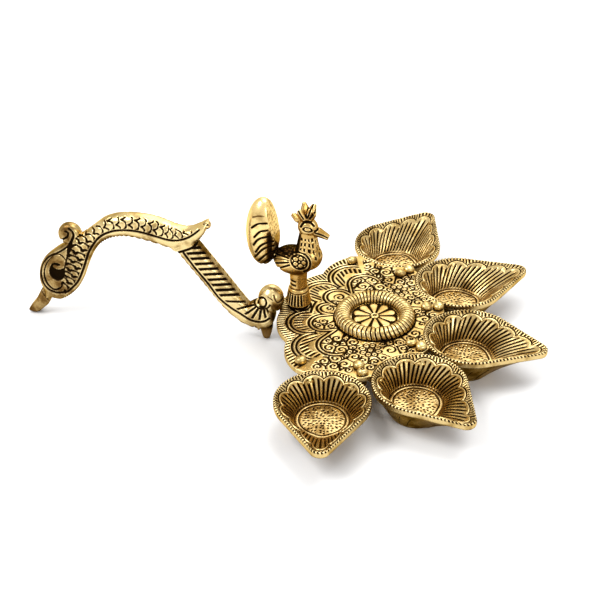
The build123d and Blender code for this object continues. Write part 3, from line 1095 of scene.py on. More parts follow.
    def room(self, x: Array, y: Array) -> Array:
        """Measure how large a curl may be at each place.

        Args:
            x: First coordinate of each place.
            y: Second coordinate of each place.

        Returns:
            The distance to what must stay clear; negative where no curl may be.
        """
        reach, angle = np.hypot(x, y), np.arctan2(y, x)
        outer, inner = discs(x, y, self.outer_scallops), discs(x, y, self.inner_scallops, self.petal_pull)
        knobs = [(*spot, self.knob_room) for _, spot in self.fan.rivets()]
        flowers = [(self.flower[0], sign * self.flower[1], self.flower_room) for sign in (1, -1)]
        between = np.minimum(inner - self.petal_gap, -outer - self.band_inner)
        panel = np.maximum(-inner - self.petal_margin, between)
        panel = np.where(np.abs(angle) < self.shoulder_start, self.shoulder_room, panel)
        return np.minimum.reduce([
            self.edge(angle) - reach - self.edge_room,
            reach - self.fan.ring_edge - self.ring_room,
            discs(x, y, knobs + flowers),
            np.where(x < self.scroll_start, panel, np.inf),
        ])

    def packed(self) -> list[Curl]:
        """Fill the plate's free ground with curls, larger ones first.

        Returns:
            The curls, which don't touch.
        """
        draw = np.random.default_rng(self.curl_seed)
        x, y = (draw.uniform(*span, self.curl_tries) for span in self.curl_field)
        large, small = self.curl_sizes
        want = large - (large - small) * np.linspace(0, 1, self.curl_tries) ** self.curl_falloff
        fits = self.room(x, y) > want
        spots = list(self.first_curls)
        for spot in zip(x[fits], y[fits], want[fits]):
            if all(math.hypot(spot[0] - sx, spot[1] - sy) > spot[2] + radius for sx, sy, radius in spots):
                spots.append(spot)
        curls = []
        for x, y, radius in spots:
            start, hand = draw.uniform(0, 1), int(draw.choice((-1, 1)))
            pitch = max(self.least_pitch, radius * self.pitch_share)
            curls.append(Curl(x, y, radius + self.curl_overlap, start, hand, pitch))
        return curls

    def bloom(self, x: Array, y: Array) -> Skinned:
        """Draw a flower about nought.

        Args:
            x: First coordinate of each point.
            y: Second coordinate of each point.

        Returns:
            1 along the flower's lines, 0 between them, and each point's distance from nought.
        """
        reach, turn = np.hypot(x, y), np.arctan2(y, x) / TAU * self.flower_petals
        apart = (turn - np.round(turn)) * TAU / self.flower_petals
        along, aside = reach * np.cos(apart), reach * np.sin(apart)
        petal = np.hypot(along - self.flower_reach, aside * self.flower_squeeze)
        rings = (stroke(petal - self.flower_petal, 0.36), stroke(reach - self.flower_eye, 0.36))
        return np.maximum.reduce([*rings, stroke(petal, 0.5), stroke(reach, 0.4)]), reach

    def scrollwork(self, x: Array, y: Array) -> Array:
        """Draw the curls, the line between each and its neighbours, and the two flowers beside the ring."""
        cut = np.zeros(x.shape)
        first, second = np.full(x.shape, np.inf), np.full(x.shape, np.inf)
        for curl in self.packed():
            cut = np.maximum(cut, curl.cut(x, y))
            gap = np.hypot(x - curl.x, y - curl.y) - curl.radius
            second = np.minimum(second, np.maximum(first, gap))
            first = np.minimum(first, gap)
        between = (first > -0.3) * (first < 3.0)
        cut = np.maximum(cut, stroke((second - first) / 2, self.between_half) * between)
        for sign in (1, -1):
            drawn, reach = self.bloom(x - self.flower[0], y - sign * self.flower[1])
            cut = np.where(reach < self.flower_edge, drawn, cut)
        return cut

    def engraving(self, x: Array, y: Array, angle: Array, gap: Array) -> Array:
        """Draw the plate's ornament.

        Args:
            x: First coordinate of each point.
            y: Second coordinate of each point.
            angle: Each point's direction from the ring's middle.
            gap: Each point's distance from the plate's edge.

        Returns:
            1 where the ornament is cut, 0 on the lands.
        """
        away = 180 - np.degrees(np.abs(angle))
        near_handle = 1 - ease(*self.milled_end, away)
        outer = discs(x, y, self.outer_scallops)
        inner = discs(x, y, self.inner_scallops, self.petal_pull)
        milled = rungs(angle * self.lobe_radius, self.mill_pitch, self.mill_half)
        milled = milled * ease(0.3, 0.6, gap) * ease(0.9, 1.3, outer) * near_handle
        rows = inset_lines(outer, self.scallop_lines) * near_handle
        band = ease(3.6, 4.0, -outer) * (1 - ease(7.9, 8.4, -outer)) * ease(1.1, 1.5, inner)
        dashes = rungs(np.degrees(angle), self.dash_pitch, self.dash_half, self.dash_span)
        dashes = dashes * band * (1 - ease(*self.dash_end, away))
        left = 1 - ease(self.scroll_start - 1, self.scroll_start + 1, x)
        reach = np.hypot(x, y)
        petals = inset_lines(inner, self.petal_lines) * left
        petals = petals * ease(self.fan.ring_edge + 0.2, self.fan.ring_edge + 0.6, reach)
        between = np.minimum(ease(0.7, 1.0, inner), ease(8.3, 8.7, -outer))
        shoulder = (np.abs(angle) < self.shoulder_start) * (inner > 0.7)
        ground = np.maximum.reduce([1 - left, ease(2.5, 2.8, -inner), between, shoulder])
        fill = self.scrollwork(x, y) * ground * ease(0.4, 0.9, gap)
        foot = stroke(reach - self.fan.ring_edge, self.foot_half)
        return np.maximum.reduce([milled, rows, dashes, petals, fill, foot])

    def shape(self, across: Array, row: Array) -> Skinned:
        """Give the plate's points and patina for a grid."""
        angle = (across - 0.5) * TAU
        core, share, inset, drop = self.stations()[row].T
        edge = self.edge(angle)
        radius = core + (edge - core) * share - inset
        x, y = radius * np.cos(angle), radius * np.sin(angle)
        cut = self.engraving(x, y, angle, edge - radius) * (drop == 0) * ease(0.1, 0.4, edge - radius)
        return np.stack([x, y, -drop - self.depth * cut], axis=1), cut

    def build(self, datum: Datum, finish: Material) -> None:
        """Make the plate."""
        mesh = skin("plate_engraved", self.columns, len(self.stations()) - 1, self.shape, datum)
        weather(mesh, rounds=1, low=0.02, high=0.22)
        Piece("plate_engraved", Body.LAMP, Slot.PLATE, ("plate",), finish).keep(mesh)


def pits(x: Array, y: Array, pitch: float, seed: float) -> Array:
    """Scatter punched pits.

    Args:
        x: First coordinate of each point.
        y: Second coordinate of each point.
        pitch: The pits' spacing.
        seed: Which scatter it is.

    Returns:
        The distance to the nearest pit's middle, in spacings.
    """
    nearest = np.full(x.shape, np.inf)
    u, v = x / pitch, y / pitch
    for i in (-1, 0, 1):
        for j in (-1, 0, 1):
            a, b = np.floor(u) + i, np.floor(v) + j
            mixed = np.sin(a * 12.9898 + b * 78.233 + seed) * 43758.5453
            other = np.sin(a * 39.3468 + b * 11.135 + seed) * 24634.6345
            dx = u - a - 0.2 - 0.6 * (mixed - np.floor(mixed))
            dy = v - b - 0.2 - 0.6 * (other - np.floor(other))
            nearest = np.minimum(nearest, np.hypot(dx, dy))
    return nearest


class BowlPart(Enum):
    """The bands of a bowl's skin, from the middle of the floor over the rim to the base."""

    FLOOR = 0
    WALL = 1
    RIM = 2
    EDGE = 3
    BELLY = 4
    BASE = 5


@dataclass
class Bowl:
    """A leaf-shaped bowl with a fluted wall, a bead in arches on its flared rim and a ticked edge."""

    fan: Fan
    index: int
    rim: Leaf = Leaf(23.6, 2.0, 15.6, 5.0, 0.0)
    lip: Leaf = Leaf(22.7, 2.0, 15.6, 4.6, 0.0)
    mouth: Leaf = Leaf(19.0, 2.0, 13.8, 4.0, -2.6)
    hollow: Leaf = Leaf(16.0, 1.0, 6.0, 3.6, -8.0)
    floor: Leaf = Leaf(13.5, 0.0, 1.0, 6.75, -13.5)
    under_rim: Leaf = Leaf(22.6, 2.0, 15.6, 5.0, -3.4)
    belly: Leaf = Leaf(18.2, 1.0, 6.8, 3.6, -11.0)
    base: Leaf = Leaf(12.6, 0.0, 1.0, 6.3, -20.0)
    bands: tuple = (26, 32, 20, 10, 16, 3)
    columns: int = 728
    brim_shares: tuple = (0, 0.2, 0.35, 0.5, 0.75, 0.9, 1)
    brim_insets: tuple = (0.9, 0.3, 0, 0, 0, 0.25, 1)
    brim_drops: tuple = (0, 0.1, 0.6, 1.2, 2.8, 3.4, 3.4)
    arches: int = 13
    arch_power: float = 0.62
    arch_low: float = -0.2
    arch_high: float = 0.4
    bead: float = 0.42
    bead_line: float = 1.2
    bead_line_depth: float = 0.3
    flutes: int = 52
    flute_depth: float = 0.6
    ticks: int = 91
    tick_slant: float = 0.12
    tick_depth: float = 0.35
    tick_dirt: float = 0.78
    floor_lines: tuple[Band, ...] = ((0.84, 0.36), (0.985, 0.34))
    floor_line_depth: float = 0.35
    pit_pitch: float = 1.9
    pit_depth: float = 0.3
    scratches: int = 14
    scratch_depth: float = 0.35
    # how much darker the floor and the low wall are
    darkening_share: float = 0.14
    ear_half_width: float = 2.2
    ear_top: float = -3.0
    ear_thick: float = 2.5

    def rows(self) -> Skinned:
        """Return each row's band and its share of the way through that band."""
        part = np.concatenate([np.full(n, k) for k, n in enumerate(self.bands)] + [[BowlPart.BASE.value]])
        share = np.concatenate([np.arange(n) / n for n in self.bands] + [[1.0]])
        return part, share

    def solid(self, leaf: Leaf, across: Array) -> Array:
        """Return a leaf's outline at its height."""
        return np.column_stack([leaf.outline(across), np.full(len(across), leaf.z)])

    def bare(self, across: Array, share: Array, on: dict[BowlPart, Array], beaded: Array) -> Array:
        """Lay the bowl's skin without its relief.

        Args:
            across: Each point's share of the way round.
            share: Each point's share of the way through its band.
            on: Which points each band has.
            beaded: Where the bead runs.

        Returns:
            The skin's points, one row each.
        """
        step = share[:, None]
        leaves = (self.rim, self.lip, self.hollow, self.floor, self.under_rim, self.belly, self.base)
        rim, lip, hollow, floor, under, belly, base = (self.solid(leaf, across) for leaf in leaves)
        inset = np.interp(share, self.brim_shares, self.brim_insets)
        edge = rim + (under - rim) * inset[:, None]
        edge[:, 2] = -np.interp(share, self.brim_shares, self.brim_drops)
        places = {
            BowlPart.FLOOR: np.column_stack([floor[:, :2] * step, floor[:, 2]]),
            BowlPart.WALL: bend(floor, hollow, beaded, share),
            BowlPart.RIM: beaded + (lip - beaded) * step,
            BowlPart.EDGE: edge,
            BowlPart.BELLY: bend(under, belly, base, share),
            BowlPart.BASE: np.column_stack([base[:, :2] * (1 - step), base[:, 2]]),
        }
        return np.select([on[part][:, None] for part in places], list(places.values()))

    def shape(self, across: Array, row: Array) -> Skinned:
        """Give the bowl's points and patina for a grid."""
        parts, shares = self.rows()
        share = shares[row]
        on = {part: parts[row] == part.value for part in BowlPart}
        floor, wall, top, brim, belly, _ = on.values()
        rim, lip, mouth = (self.solid(leaf, across) for leaf in (self.rim, self.lip, self.mouth))
        arch = np.abs(np.sin(math.pi * self.arches * across)) ** self.arch_power
        lift = self.arch_low + (self.arch_high - self.arch_low) * arch
        beaded = mouth + (lip - mouth) * lift[:, None]
        points = self.bare(across, share, on, beaded)
        outward = (rim - mouth)[:, :2]
        outward = outward / np.linalg.norm(outward, axis=1, keepdims=True)
        past = np.linalg.norm(lip - beaded, axis=1) * share
        swell = wall * ease(0.93, 1, share) + top * (1 - ease(0.25, 0.95, past))
        outline = top * stroke(past - self.bead_line, 0.34, 0.2)
        nearest = ripple(self.flutes * across)
        fade = ease(0.02, 0.09, share) * (1 - ease(0.92 - nearest**2, 0.97 - nearest**2, share))
        flute = wall * (1 - ease(0.12, 0.31, nearest)) * fade
        tick = 1 - ease(0.14, 0.36, ripple(self.ticks * across + self.tick_slant * past))
        tick = tick * (top * ease(1.6, 1.9, past) + brim * (1 - ease(0.3, 0.45, share)))
        lines = [stroke((share - at) * self.floor.radius, half) for at, half in self.floor_lines]
        lines = np.maximum.reduce(lines) * floor
        pit = pits(points[:, 0], points[:, 1], self.pit_pitch, self.index)
        dents = (1 - ease(0.14, 0.36, pit)) * floor * (1 - ease(0.74, 0.8, share))
        scratch = ripple(self.scratches * across + 0.35 * np.sin(5 * TAU * across + self.index))
        notch = belly * (1 - ease(0.02, 0.055, scratch))
        notch = notch * ease(0.28, 0.4, share) * (1 - ease(0.84, 0.92, share))
        xy = points[:, :2] + outward * (self.flute_depth * flute - self.scratch_depth * notch)[:, None]
        z = points[:, 2] + self.bead * swell - self.bead_line_depth * outline - self.tick_depth * tick
        z = z - self.floor_line_depth * lines - self.pit_depth * dents
        # darker over the floor and low on the wall, fading up the wall
        darker_deep_inside = self.darkening_share * np.where(wall, 1 - ease(0.1, 0.9, share), floor)
        patina = np.maximum.reduce([flute, outline, self.tick_dirt * tick, lines, dents, notch, darker_deep_inside])
        return np.column_stack([self.placed(xy), np.minimum(z, 0)]), patina

    def placed(self, xy: Array) -> Array:
        """Turn plan points from the bowl's own axes to its place in the fan."""
        angle = math.radians(self.fan.angles[self.index])
        turn = np.array([[math.cos(angle), math.sin(angle)], [-math.sin(angle), math.cos(angle)]])
        return xy @ turn + polar(self.fan.radius, self.fan.angles[self.index], self.fan.middle_x)

    def ears(self, mesh: Mesh, datum: Datum) -> None:
        """Add the two ears that reach under the plate to the bowl's rivets."""
        bm = bmesh.new()
        x, y, radius = self.fan.rim_circle(self.index)
        height = self.ear_top - self.ear_thick / 2
        for owner, spot in self.fan.rivets():
            if owner != self.index:
                continue
            run = Vector((spot[0] - x, spot[1] - y, 0))
            start = radius - (self.rim.radius - self.mouth.radius)
            length = run.length - start
            strip = bmesh.ops.create_cube(bm, size=1)["verts"]
            bmesh.ops.scale(bm, verts=strip, vec=(length, 2 * self.ear_half_width, self.ear_thick))
            bmesh.ops.translate(bm, verts=strip, vec=(start + length / 2, 0, height))
            turn = Matrix.Rotation(math.atan2(run.y, run.x), 3, "Z")
            bmesh.ops.rotate(bm, verts=strip, cent=(0, 0, 0), matrix=turn)
            bmesh.ops.translate(bm, verts=strip, vec=(x, y, 0))
            place = Matrix.Translation((*spot, height - self.ear_thick / 2))
            cone(bm, self.ear_half_width, self.ear_half_width, self.ear_thick, place)
        bmesh.ops.scale(bm, verts=bm.verts[:], vec=[1 / METRE] * 3)
        bmesh.ops.translate(bm, verts=bm.verts[:], vec=(datum.x, datum.y, datum.z))
        bm.from_mesh(mesh)
        bm.to_mesh(mesh)
        bm.free()

    def build(self, datum: Datum, finish: Material) -> None:
        """Make the bowl."""
        name = f"bowl_{self.index + 1}_cast"
        mesh = skin(name, self.columns, sum(self.bands), self.shape, datum)
        weather(mesh, rounds=1, low=0.03, high=0.3, brightened=0.1)
        self.ears(mesh, datum)
        Piece(name, Body.LAMP, Slot.BOWL, (f"bowl_{self.index + 1}",), finish).keep(mesh)


@dataclass
class RopeRing:
    """The gadrooned ring round the rosette."""

    radius: float = 16.6
    tube: float = 4.1
    lift: float = 0.9
    strands: int = 50
    slant: float = 0.3
    twist: float = 0.12
    depth: float = 0.9
    groove_dirt: float = 0.9
    columns: int = 700
    rows: int = 36

    def shape(self, across: Array, row: Array) -> Skinned:
        """Give the ring's points and patina for a grid."""
        angle, lean = across * TAU, row / self.rows * TAU
        turn = self.strands * across + self.slant * np.sin(lean) + self.twist * np.sin(2 * lean)
        valley = 1 - ease(0.02, 0.26, ripple(turn))
        tube = self.tube - self.depth * valley**1.5
        reach = self.radius + tube * np.cos(lean)
        z = np.maximum(self.lift + tube * np.sin(lean), 0)
        points = np.stack([reach * np.cos(angle), reach * np.sin(angle), z], axis=1)
        return points, self.groove_dirt * ease(0.35, 0.85, valley)

    def build(self, datum: Datum, finish: Material) -> None:
        """Make the ring."""
        mesh = skin("rope_ring_cast", self.columns, self.rows, self.shape, datum)
        weather(mesh, rounds=1, low=0.05, high=0.35)
        Piece("rope_ring_cast", Body.LAMP, Slot.ORNAMENT, ("rope_ring",), finish).keep(mesh)


@dataclass
class Rosette:
    """The ten-petal rosette inside the ring, and the rivet in its middle."""

    radius: float = 11.9
    thick: float = 0.8
    petals: int = 10
    rise: float = 0.7
    petal_start: float = 2.9
    petal_end: float = 9.1
    root_half: float = 0.55
    end_half: float = 2.25
    columns: int = 480
    top_rows: int = 46
    boss_steps: int = 48
    boss: tuple[Plan, ...] = (
        (0, 1.5), (0.45, 1.45), (0.6, 1.25), (0.8, 1.3), (1.0, 1.65), (1.3, 1.8), (1.75, 1.78),
        (2.1, 1.6), (2.3, 1.25), (2.3, 0.8), (1.4, 0.8), (1.4, -3.0), (2.3, -3.0), (2.2, -3.7),
        (1.6, -4.0), (0, -4.0),
    )
    dimple: float = 0.7

    def shape(self, across: Array, row: Array) -> Skinned:
        """Give the rosette's points and patina for a grid."""
        angle = across * TAU
        on_top = row <= self.top_rows
        radius = np.where(on_top, self.radius * np.minimum(row / self.top_rows, 1), self.radius)
        radius = np.where(row == self.top_rows + 2, 0, radius)
        drop = np.where(on_top, 0, 1)
        turn = across * self.petals
        apart = (turn - np.round(turn)) * TAU / self.petals
        along, aside = radius * np.cos(apart), np.abs(radius * np.sin(apart))
        share = np.clip((along - self.petal_start) / (self.petal_end - self.petal_start), 0, 1)
        half = self.root_half + (self.end_half - self.root_half) * share**0.8
        past = np.maximum(along - self.petal_end, 0) + np.maximum(self.petal_start - along, 0) * 2
        gap = half - np.hypot(aside, past)
        swell = ease(-0.05, 0.4, gap) * (0.75 + 0.25 * ease(0, 1.4, gap))
        z = np.where(drop > 0, 0, self.thick + self.rise * swell)
        points = np.stack([radius * np.cos(angle), radius * np.sin(angle), z], axis=1)
        patina = (1 - ease(0.0, 0.32, gap)) * (1 - drop)
        return points, patina

    def build(self, datum: Datum, finish: Material, boss_finish: Material) -> None:
        """Make the rosette and its rivet."""
        mesh = skin("rosette_cast", self.columns, self.top_rows + 2, self.shape, datum)
        weather(mesh, rounds=1, low=0.05, high=0.3)
        Piece("rosette_cast", Body.LAMP, Slot.ORNAMENT, ("rosette",), finish).keep(mesh)
        bm = bmesh.new()
        turned(bm, self.boss, self.boss_steps, (0, 0, 0))
        bmesh.ops.recalc_face_normals(bm, faces=bm.faces[:])
        boss = mesh_of(bm, "rosette_boss")
        surface = Surface(boss)
        points = surface.points()
        reach = np.hypot(points[:, 0], points[:, 1])
        ring = (1 - ease(0.12, 0.4, np.abs(reach - self.dimple))) * (points[:, 2] > 1)
        surface.paint("patina", np.maximum(ring, ease(2.2, 2.28, reach) * (points[:, 2] < 1)))
        surface.move(datum.metres(points))
        Piece("rosette_boss", Body.LAMP, Slot.RIVET, ("rosette_rivet",), boss_finish).keep(boss)


@dataclass
class Rivets:
    """The ten uneven knobs beside the bowls, with their clenched tails under the ears."""

    fan: Fan
    seed: int = 11
    punched: tuple[int, ...] = (5, 8)
    plain_top: tuple[Plan, ...] = ((0, 3.4), (0.5, 3.38), (0.9, 3.3), (1.3, 3.15), (1.7, 2.95))
    punched_top: tuple[Plan, ...] = (
        (0, 3.32), (0.4, 3.25), (0.62, 2.95), (0.95, 2.95), (1.2, 3.2), (1.7, 2.95),
    )
    side: tuple[Plan, ...] = (
        (2.15, 2.72), (2.5, 2.35), (2.74, 1.8), (2.85, 1.2), (2.85, 0.5), (2.8, 0.0), (1.3, 0.0),
        (1.3, -5.5), (2.1, -5.5), (2.1, -6.1), (1.7, -6.4), (1.0, -6.5), (0, -6.5),
    )
    steps: int = 40
    squeezes: Band = (0.88, 1.0)
    most_lean: float = 0.24
    swell: float = 1.08
    flattening: float = 0.03
    sink: float = 0.1
    punch: float = 0.78

    def build(self, datum: Datum, finish: Material) -> None:
        """Make the knobs."""
        draw = np.random.default_rng(self.seed)
        bm = bmesh.new()
        for i, (_, spot) in enumerate(self.fan.rivets()):
            top = self.punched_top if i in self.punched else self.plain_top
            made = turned(bm, top + self.side, self.steps, (0, 0, 0))
            squeeze = draw.uniform(*self.squeezes)
            turn = draw.uniform(0, math.pi)
            lean = draw.uniform(-self.most_lean, self.most_lean, 2)
            for vert in made:
                if vert.co.z > 0:
                    rise = vert.co.z
                    reach = math.hypot(vert.co.x, vert.co.y)
                    angle = math.atan2(vert.co.y, vert.co.x)
                    reach *= self.swell - (1 - squeeze) * (0.5 + 0.5 * math.cos(2 * angle + turn))
                    reach *= 1 - self.flattening * (1 + math.cos(3 * angle + 5 * turn))
                    vert.co.x, vert.co.y = reach * math.cos(angle), reach * math.sin(angle)
                    tilt = (vert.co.x * lean[0] + vert.co.y * lean[1]) * rise / 4
                    vert.co.z = min(rise + tilt - self.sink, self.plain_top[0][1])
            bmesh.ops.translate(bm, verts=made, vec=(*spot, 0))
        bmesh.ops.recalc_face_normals(bm, faces=bm.faces[:])
        mesh = mesh_of(bm, "rivet_knobs")
        surface = Surface(mesh)
        points = surface.points()
        spots = np.array([spot for _, spot in self.fan.rivets()])
        apart = np.hypot(points[:, None, 0] - spots[:, 0], points[:, None, 1] - spots[:, 1])
        mine = apart.argmin(axis=1)
        reach = apart.min(axis=1)
        ring = stroke(reach - self.punch, 0.32) * np.isin(mine, self.punched) * (points[:, 2] > 2)
        seat = (1 - ease(0.1, 0.7, points[:, 2])) * (points[:, 2] > -1)
        surface.paint("patina", np.maximum(ring, seat))
        surface.move(datum.metres(points))
        weather(mesh, rounds=1, low=0.2, high=0.6)
        Piece("rivet_knobs", Body.LAMP, Slot.RIVET, ("bowl_rivets",), finish).keep(mesh)


@dataclass
class SwanHandle:
    """The handle: bill, head with its crest scroll, scaled neck, hatched arm, rolled root and bud.

    Outlines are points of reach out from the plate's edge and rise above the plate's top. The relief is
    drawn on the middle plane and carried out to both faces along the slope that it was cast at.
    """

    turn: float = 186.0
    plate_reach: float = 50.6
    table: float = -20.0
    half_thick: float = 5.2
    draw_reach: float = 0.19
    draw_rise: float = 0.63
    swan_round: float = 4.4
    arm_round: float = 3.6
    swan_back: tuple = (
        (125.9, -8.5), (129.2, 2.0), (127.0, 13.0), (119.4, 21.3), (109.4, 28.5), (99.9, 35.6),
        (89.9, 44.0), (78.4, 47.3), (64.4, 46.8), (52.4, 43.2), (45.2, 42.9), (36.4, 46.9),
    )
    swan_tip: tuple = ((36.4, 46.9), (36.4, 44.2), (38.2, 40.2), (42.9, 34.6), (53.4, 29.4))
    swan_belly: tuple = (
        (53.4, 29.4), (64.4, 32.4), (74.9, 34.3), (81.4, 34.2), (87.9, 32.2), (93.6, 28.0),
        (98.2, 21.2), (101.9, 12.5), (104.9, 4.6), (109.7, -3.2), (117.4, -9.3), (125.9, -8.5),
    )
    tip_roll: Circle = (36.7, 45.2, 2.2)
    tip_roll_half: float = 3.6
    arm_under: tuple = ((54.0, 31.2), (40.6, 13.4), (29.4, -1.6), (21.6, -9.2), (15.6, -12.4), (9.4, -13.2))
    arm_over: tuple = ((6.0, -6.0), (14.0, -1.8), (28.2, 17.1), (44.5, 38.8))
    root: Circle = (9.4, -5.2, 8.0)
    knuckle: Plan = (3.7, 4.8)
    knuckle_radii: Point = (6.8, 7.8, 6.8)
    crest: Circle = (110.2, 31.6, 6.2)
    crest_half: float = 3.6
    crest_round: float = 3.0
    bill: tuple[Plan, ...] = (
        (122.9, -8.0), (128.7, -4.0), (132.6, -11.5), (137.0, -17.6), (136.8, -18.8), (133.4, -20.0),
        (131.4, -19.2), (125.8, -13.8),
    )
    bill_half: float = 3.4
    bill_round: float = 1.9
    border: tuple[Plan, ...] = (
        (113.8, -5.4), (107.9, 1.5), (103.9, 10.5), (99.8, 21.7), (93.9, 30.7), (87.4, 35.0), (81.2, 36.6),
        (75.0, 37.0), (68.9, 36.3), (62.9, 35.0), (56.9, 33.8), (51.8, 34.1), (46.6, 36.4), (42.5, 39.8),
        (40.6, 42.0),
    )
    head_line: tuple[Plan, ...] = (
        (113.8, -5.4), (117.5, -6.4), (121.0, -6.6), (124.8, -5.0), (127.2, -1.4), (128.0, 3.6),
        (127.6, 7.8), (126.2, 11.7), (122.5, 16.0), (117.8, 18.6), (113.5, 21.7), (110.1, 25.4),
        (108.0, 29.6), (108.3, 32.4), (110.1, 34.3),
    )
    crest_curl: tuple = ((112.2, 32.4), (110.8, 31.5), (111.3, 29.2), (113.4, 27.6), (116.6, 25.2))
    groove: tuple[Plan, ...] = (
        (113.9, 12.0), (113.9, 14.8), (115.9, 17.4), (119.5, 16.4), (123.1, 12.5), (125.4, 7.7),
        (126.0, 2.4), (124.6, -2.1), (122.0, -4.7), (119.5, -4.6), (117.2, -2.3), (116.5, 0.1),
    )
    scroll: tuple[Plan, ...] = (
        (119.6, 9.8), (117.6, 9.2), (115.2, 10.7), (114.5, 13.6), (116.0, 16.0), (118.5, 16.0),
        (121.3, 13.3), (123.5, 9.0), (124.4, 4.9), (123.2, 1.0), (120.9, -1.3), (118.7, -1.6),
    )
    scroll_half: float = 0.95
    recess: tuple = (118.8, 6.6, 4.6, 5.8)
    shade: tuple = ((108.6, 29.0), (110.3, 23.7), (111.5, 19.1), (112.9, 14.4), (114.3, 9.6), (115.5, 5.5))
    scale_reach: float = 117.0
    scale_pitch: float = 6.2
    scale_row: float = 3.1
    scale_radius: float = 3.0
    arm_border: tuple[Plan, ...] = (
        (49.1, 26.9), (43.3, 18.2), (37.5, 10.7), (31.6, 1.8), (25.7, -3.4), (20.6, -6.6), (15.3, -9.9),
        (11.0, -10.8), (7.4, -10.0), (4.5, -7.7),
    )
    hatch_pitch: float = 3.36
    hatch_start: float = 2.54
    hatch_half: float = 0.78
    hatch_slant: float = 0.2
    fan_pitch: float = 19.0
    fan_start: float = 6.0
    fan_span: float = 0.332
    volute: tuple = (8.4, 1.9, 2.2, 3.1)
    volute_moat: float = 4.3
    bud_veins: tuple = (
        ((5.2, 5.6), (3.9, 4.9), (3.0, 4.0)),
        ((2.2, 7.4), (1.6, 5.0), (0.2, 2.8), (-1.6, 4.0), (-3.0, 6.4)),
        ((3.4, 0.4), (1.6, -3.4), (-0.6, 0.8)),
    )
    notch_pitch: float = 1.7
    line_half: float = 0.55
    deepest: float = 1.4
    swan_start: float = 34.0
    arm_end: float = 56.0
    bare_root: float = 12.0
    head_start: float = 103.0
    rubbing_and_painted_highlight: float = 0.22
    depth: float = 0.75
    voxel: float = 0.36
    easing: int = 4

    def outline(self) -> Array:
        """Return the swan's closed outline."""
        back, tip, belly = (smooth_path(p, 6) for p in (self.swan_back, self.swan_tip, self.swan_belly))
        return np.vstack([back[:-1], tip[:-1], belly[:-1]])

    def forms(self) -> BMesh:
        """Build the handle's closed forms on its side plane: reach, rise and side."""
        bm = bmesh.new()
        pillow(bm, self.outline(), self.half_thick, self.swan_round)
        under, over = smooth_path(self.arm_under, 5), smooth_path(self.arm_over, 5)
        pillow(bm, np.vstack([under, over]), self.half_thick, self.arm_round)
        around = np.linspace(0, TAU, 64, endpoint=False)
        ring = np.stack([np.cos(around), np.sin(around)], axis=1)
        for (x, y, radius), half, rounding in (
            (self.root, self.half_thick, self.arm_round), (self.crest, self.crest_half, self.crest_round),
        ):
            pillow(bm, ring * radius + (x, y), half, rounding)
        egg(bm, self.knuckle_radii, (*self.knuckle, 0))
        x, y, radius = self.tip_roll
        egg(bm, (radius, radius, self.tip_roll_half), (x, y, 0))
        pillow(bm, np.array(self.bill), self.bill_half, self.bill_round)
        return bm

    def scales(self, run: Array, above: Array) -> Array:
        """Draw rows of overlapping scales along the neck.

        Args:
            run: Distance along the border line.
            above: Distance above the border line.

        Returns:
            1 along the scales' edges, 0 between them.
        """
        half_width = 0.42 + 0.28 * (1 - ease(20, 50, run))
        cut = np.zeros(run.shape)
        for half in (0, 0.5):
            across = run / self.scale_pitch + half
            up = above / (2 * self.scale_row) - 0.55 + half
            dx = (across - np.round(across)) * self.scale_pitch
            dy = (up - np.round(up)) * 2 * self.scale_row
            line = stroke(np.hypot(dx, dy * 0.98) - self.scale_radius, half_width) * ease(0.2, 0.9, dx)
            cut = np.maximum(cut, line)
        return cut

    def head(self, reach: Array, rise: Array) -> Array:
        """Draw the head's outline, its scroll, the crest's curl and a cut band painted dark as shade beside
        the scroll.
        """
        paths = (self.head_line, self.crest_curl, self.groove)
        line, curl, groove = (follow(smooth_path(path), reach, rise)[1] for path in paths)
        run, scroll = follow(smooth_path(self.scroll), reach, rise)
        band = np.abs(scroll) - self.scroll_half - 0.5 * ease(26, 34, run)
        x, y, wide, tall = self.recess
        oval = np.hypot((reach - x) / wide, (rise - y) / tall)
        hollow = (1 - ease(0.86, 1.0, oval)) * ease(0, 0.5, band)
        # painted shade: a dark cut band beside the scroll, between it and the scales, along the shade path
        run, shade = follow(smooth_path(self.shade), reach, rise)
        painted_shade_band = 1 - ease(-0.3, 0.3, np.abs(shade) - 0.3 - 0.9 * np.exp(-(((run - 7) / 4) ** 2)))
        drawn = (stroke(line, self.line_half), stroke(curl, 0.48), stroke(groove, 0.5) * ease(0, 0.4, band))
        return np.maximum.reduce([*drawn, self.deepest * hollow, painted_shade_band]) * (reach > self.head_start)

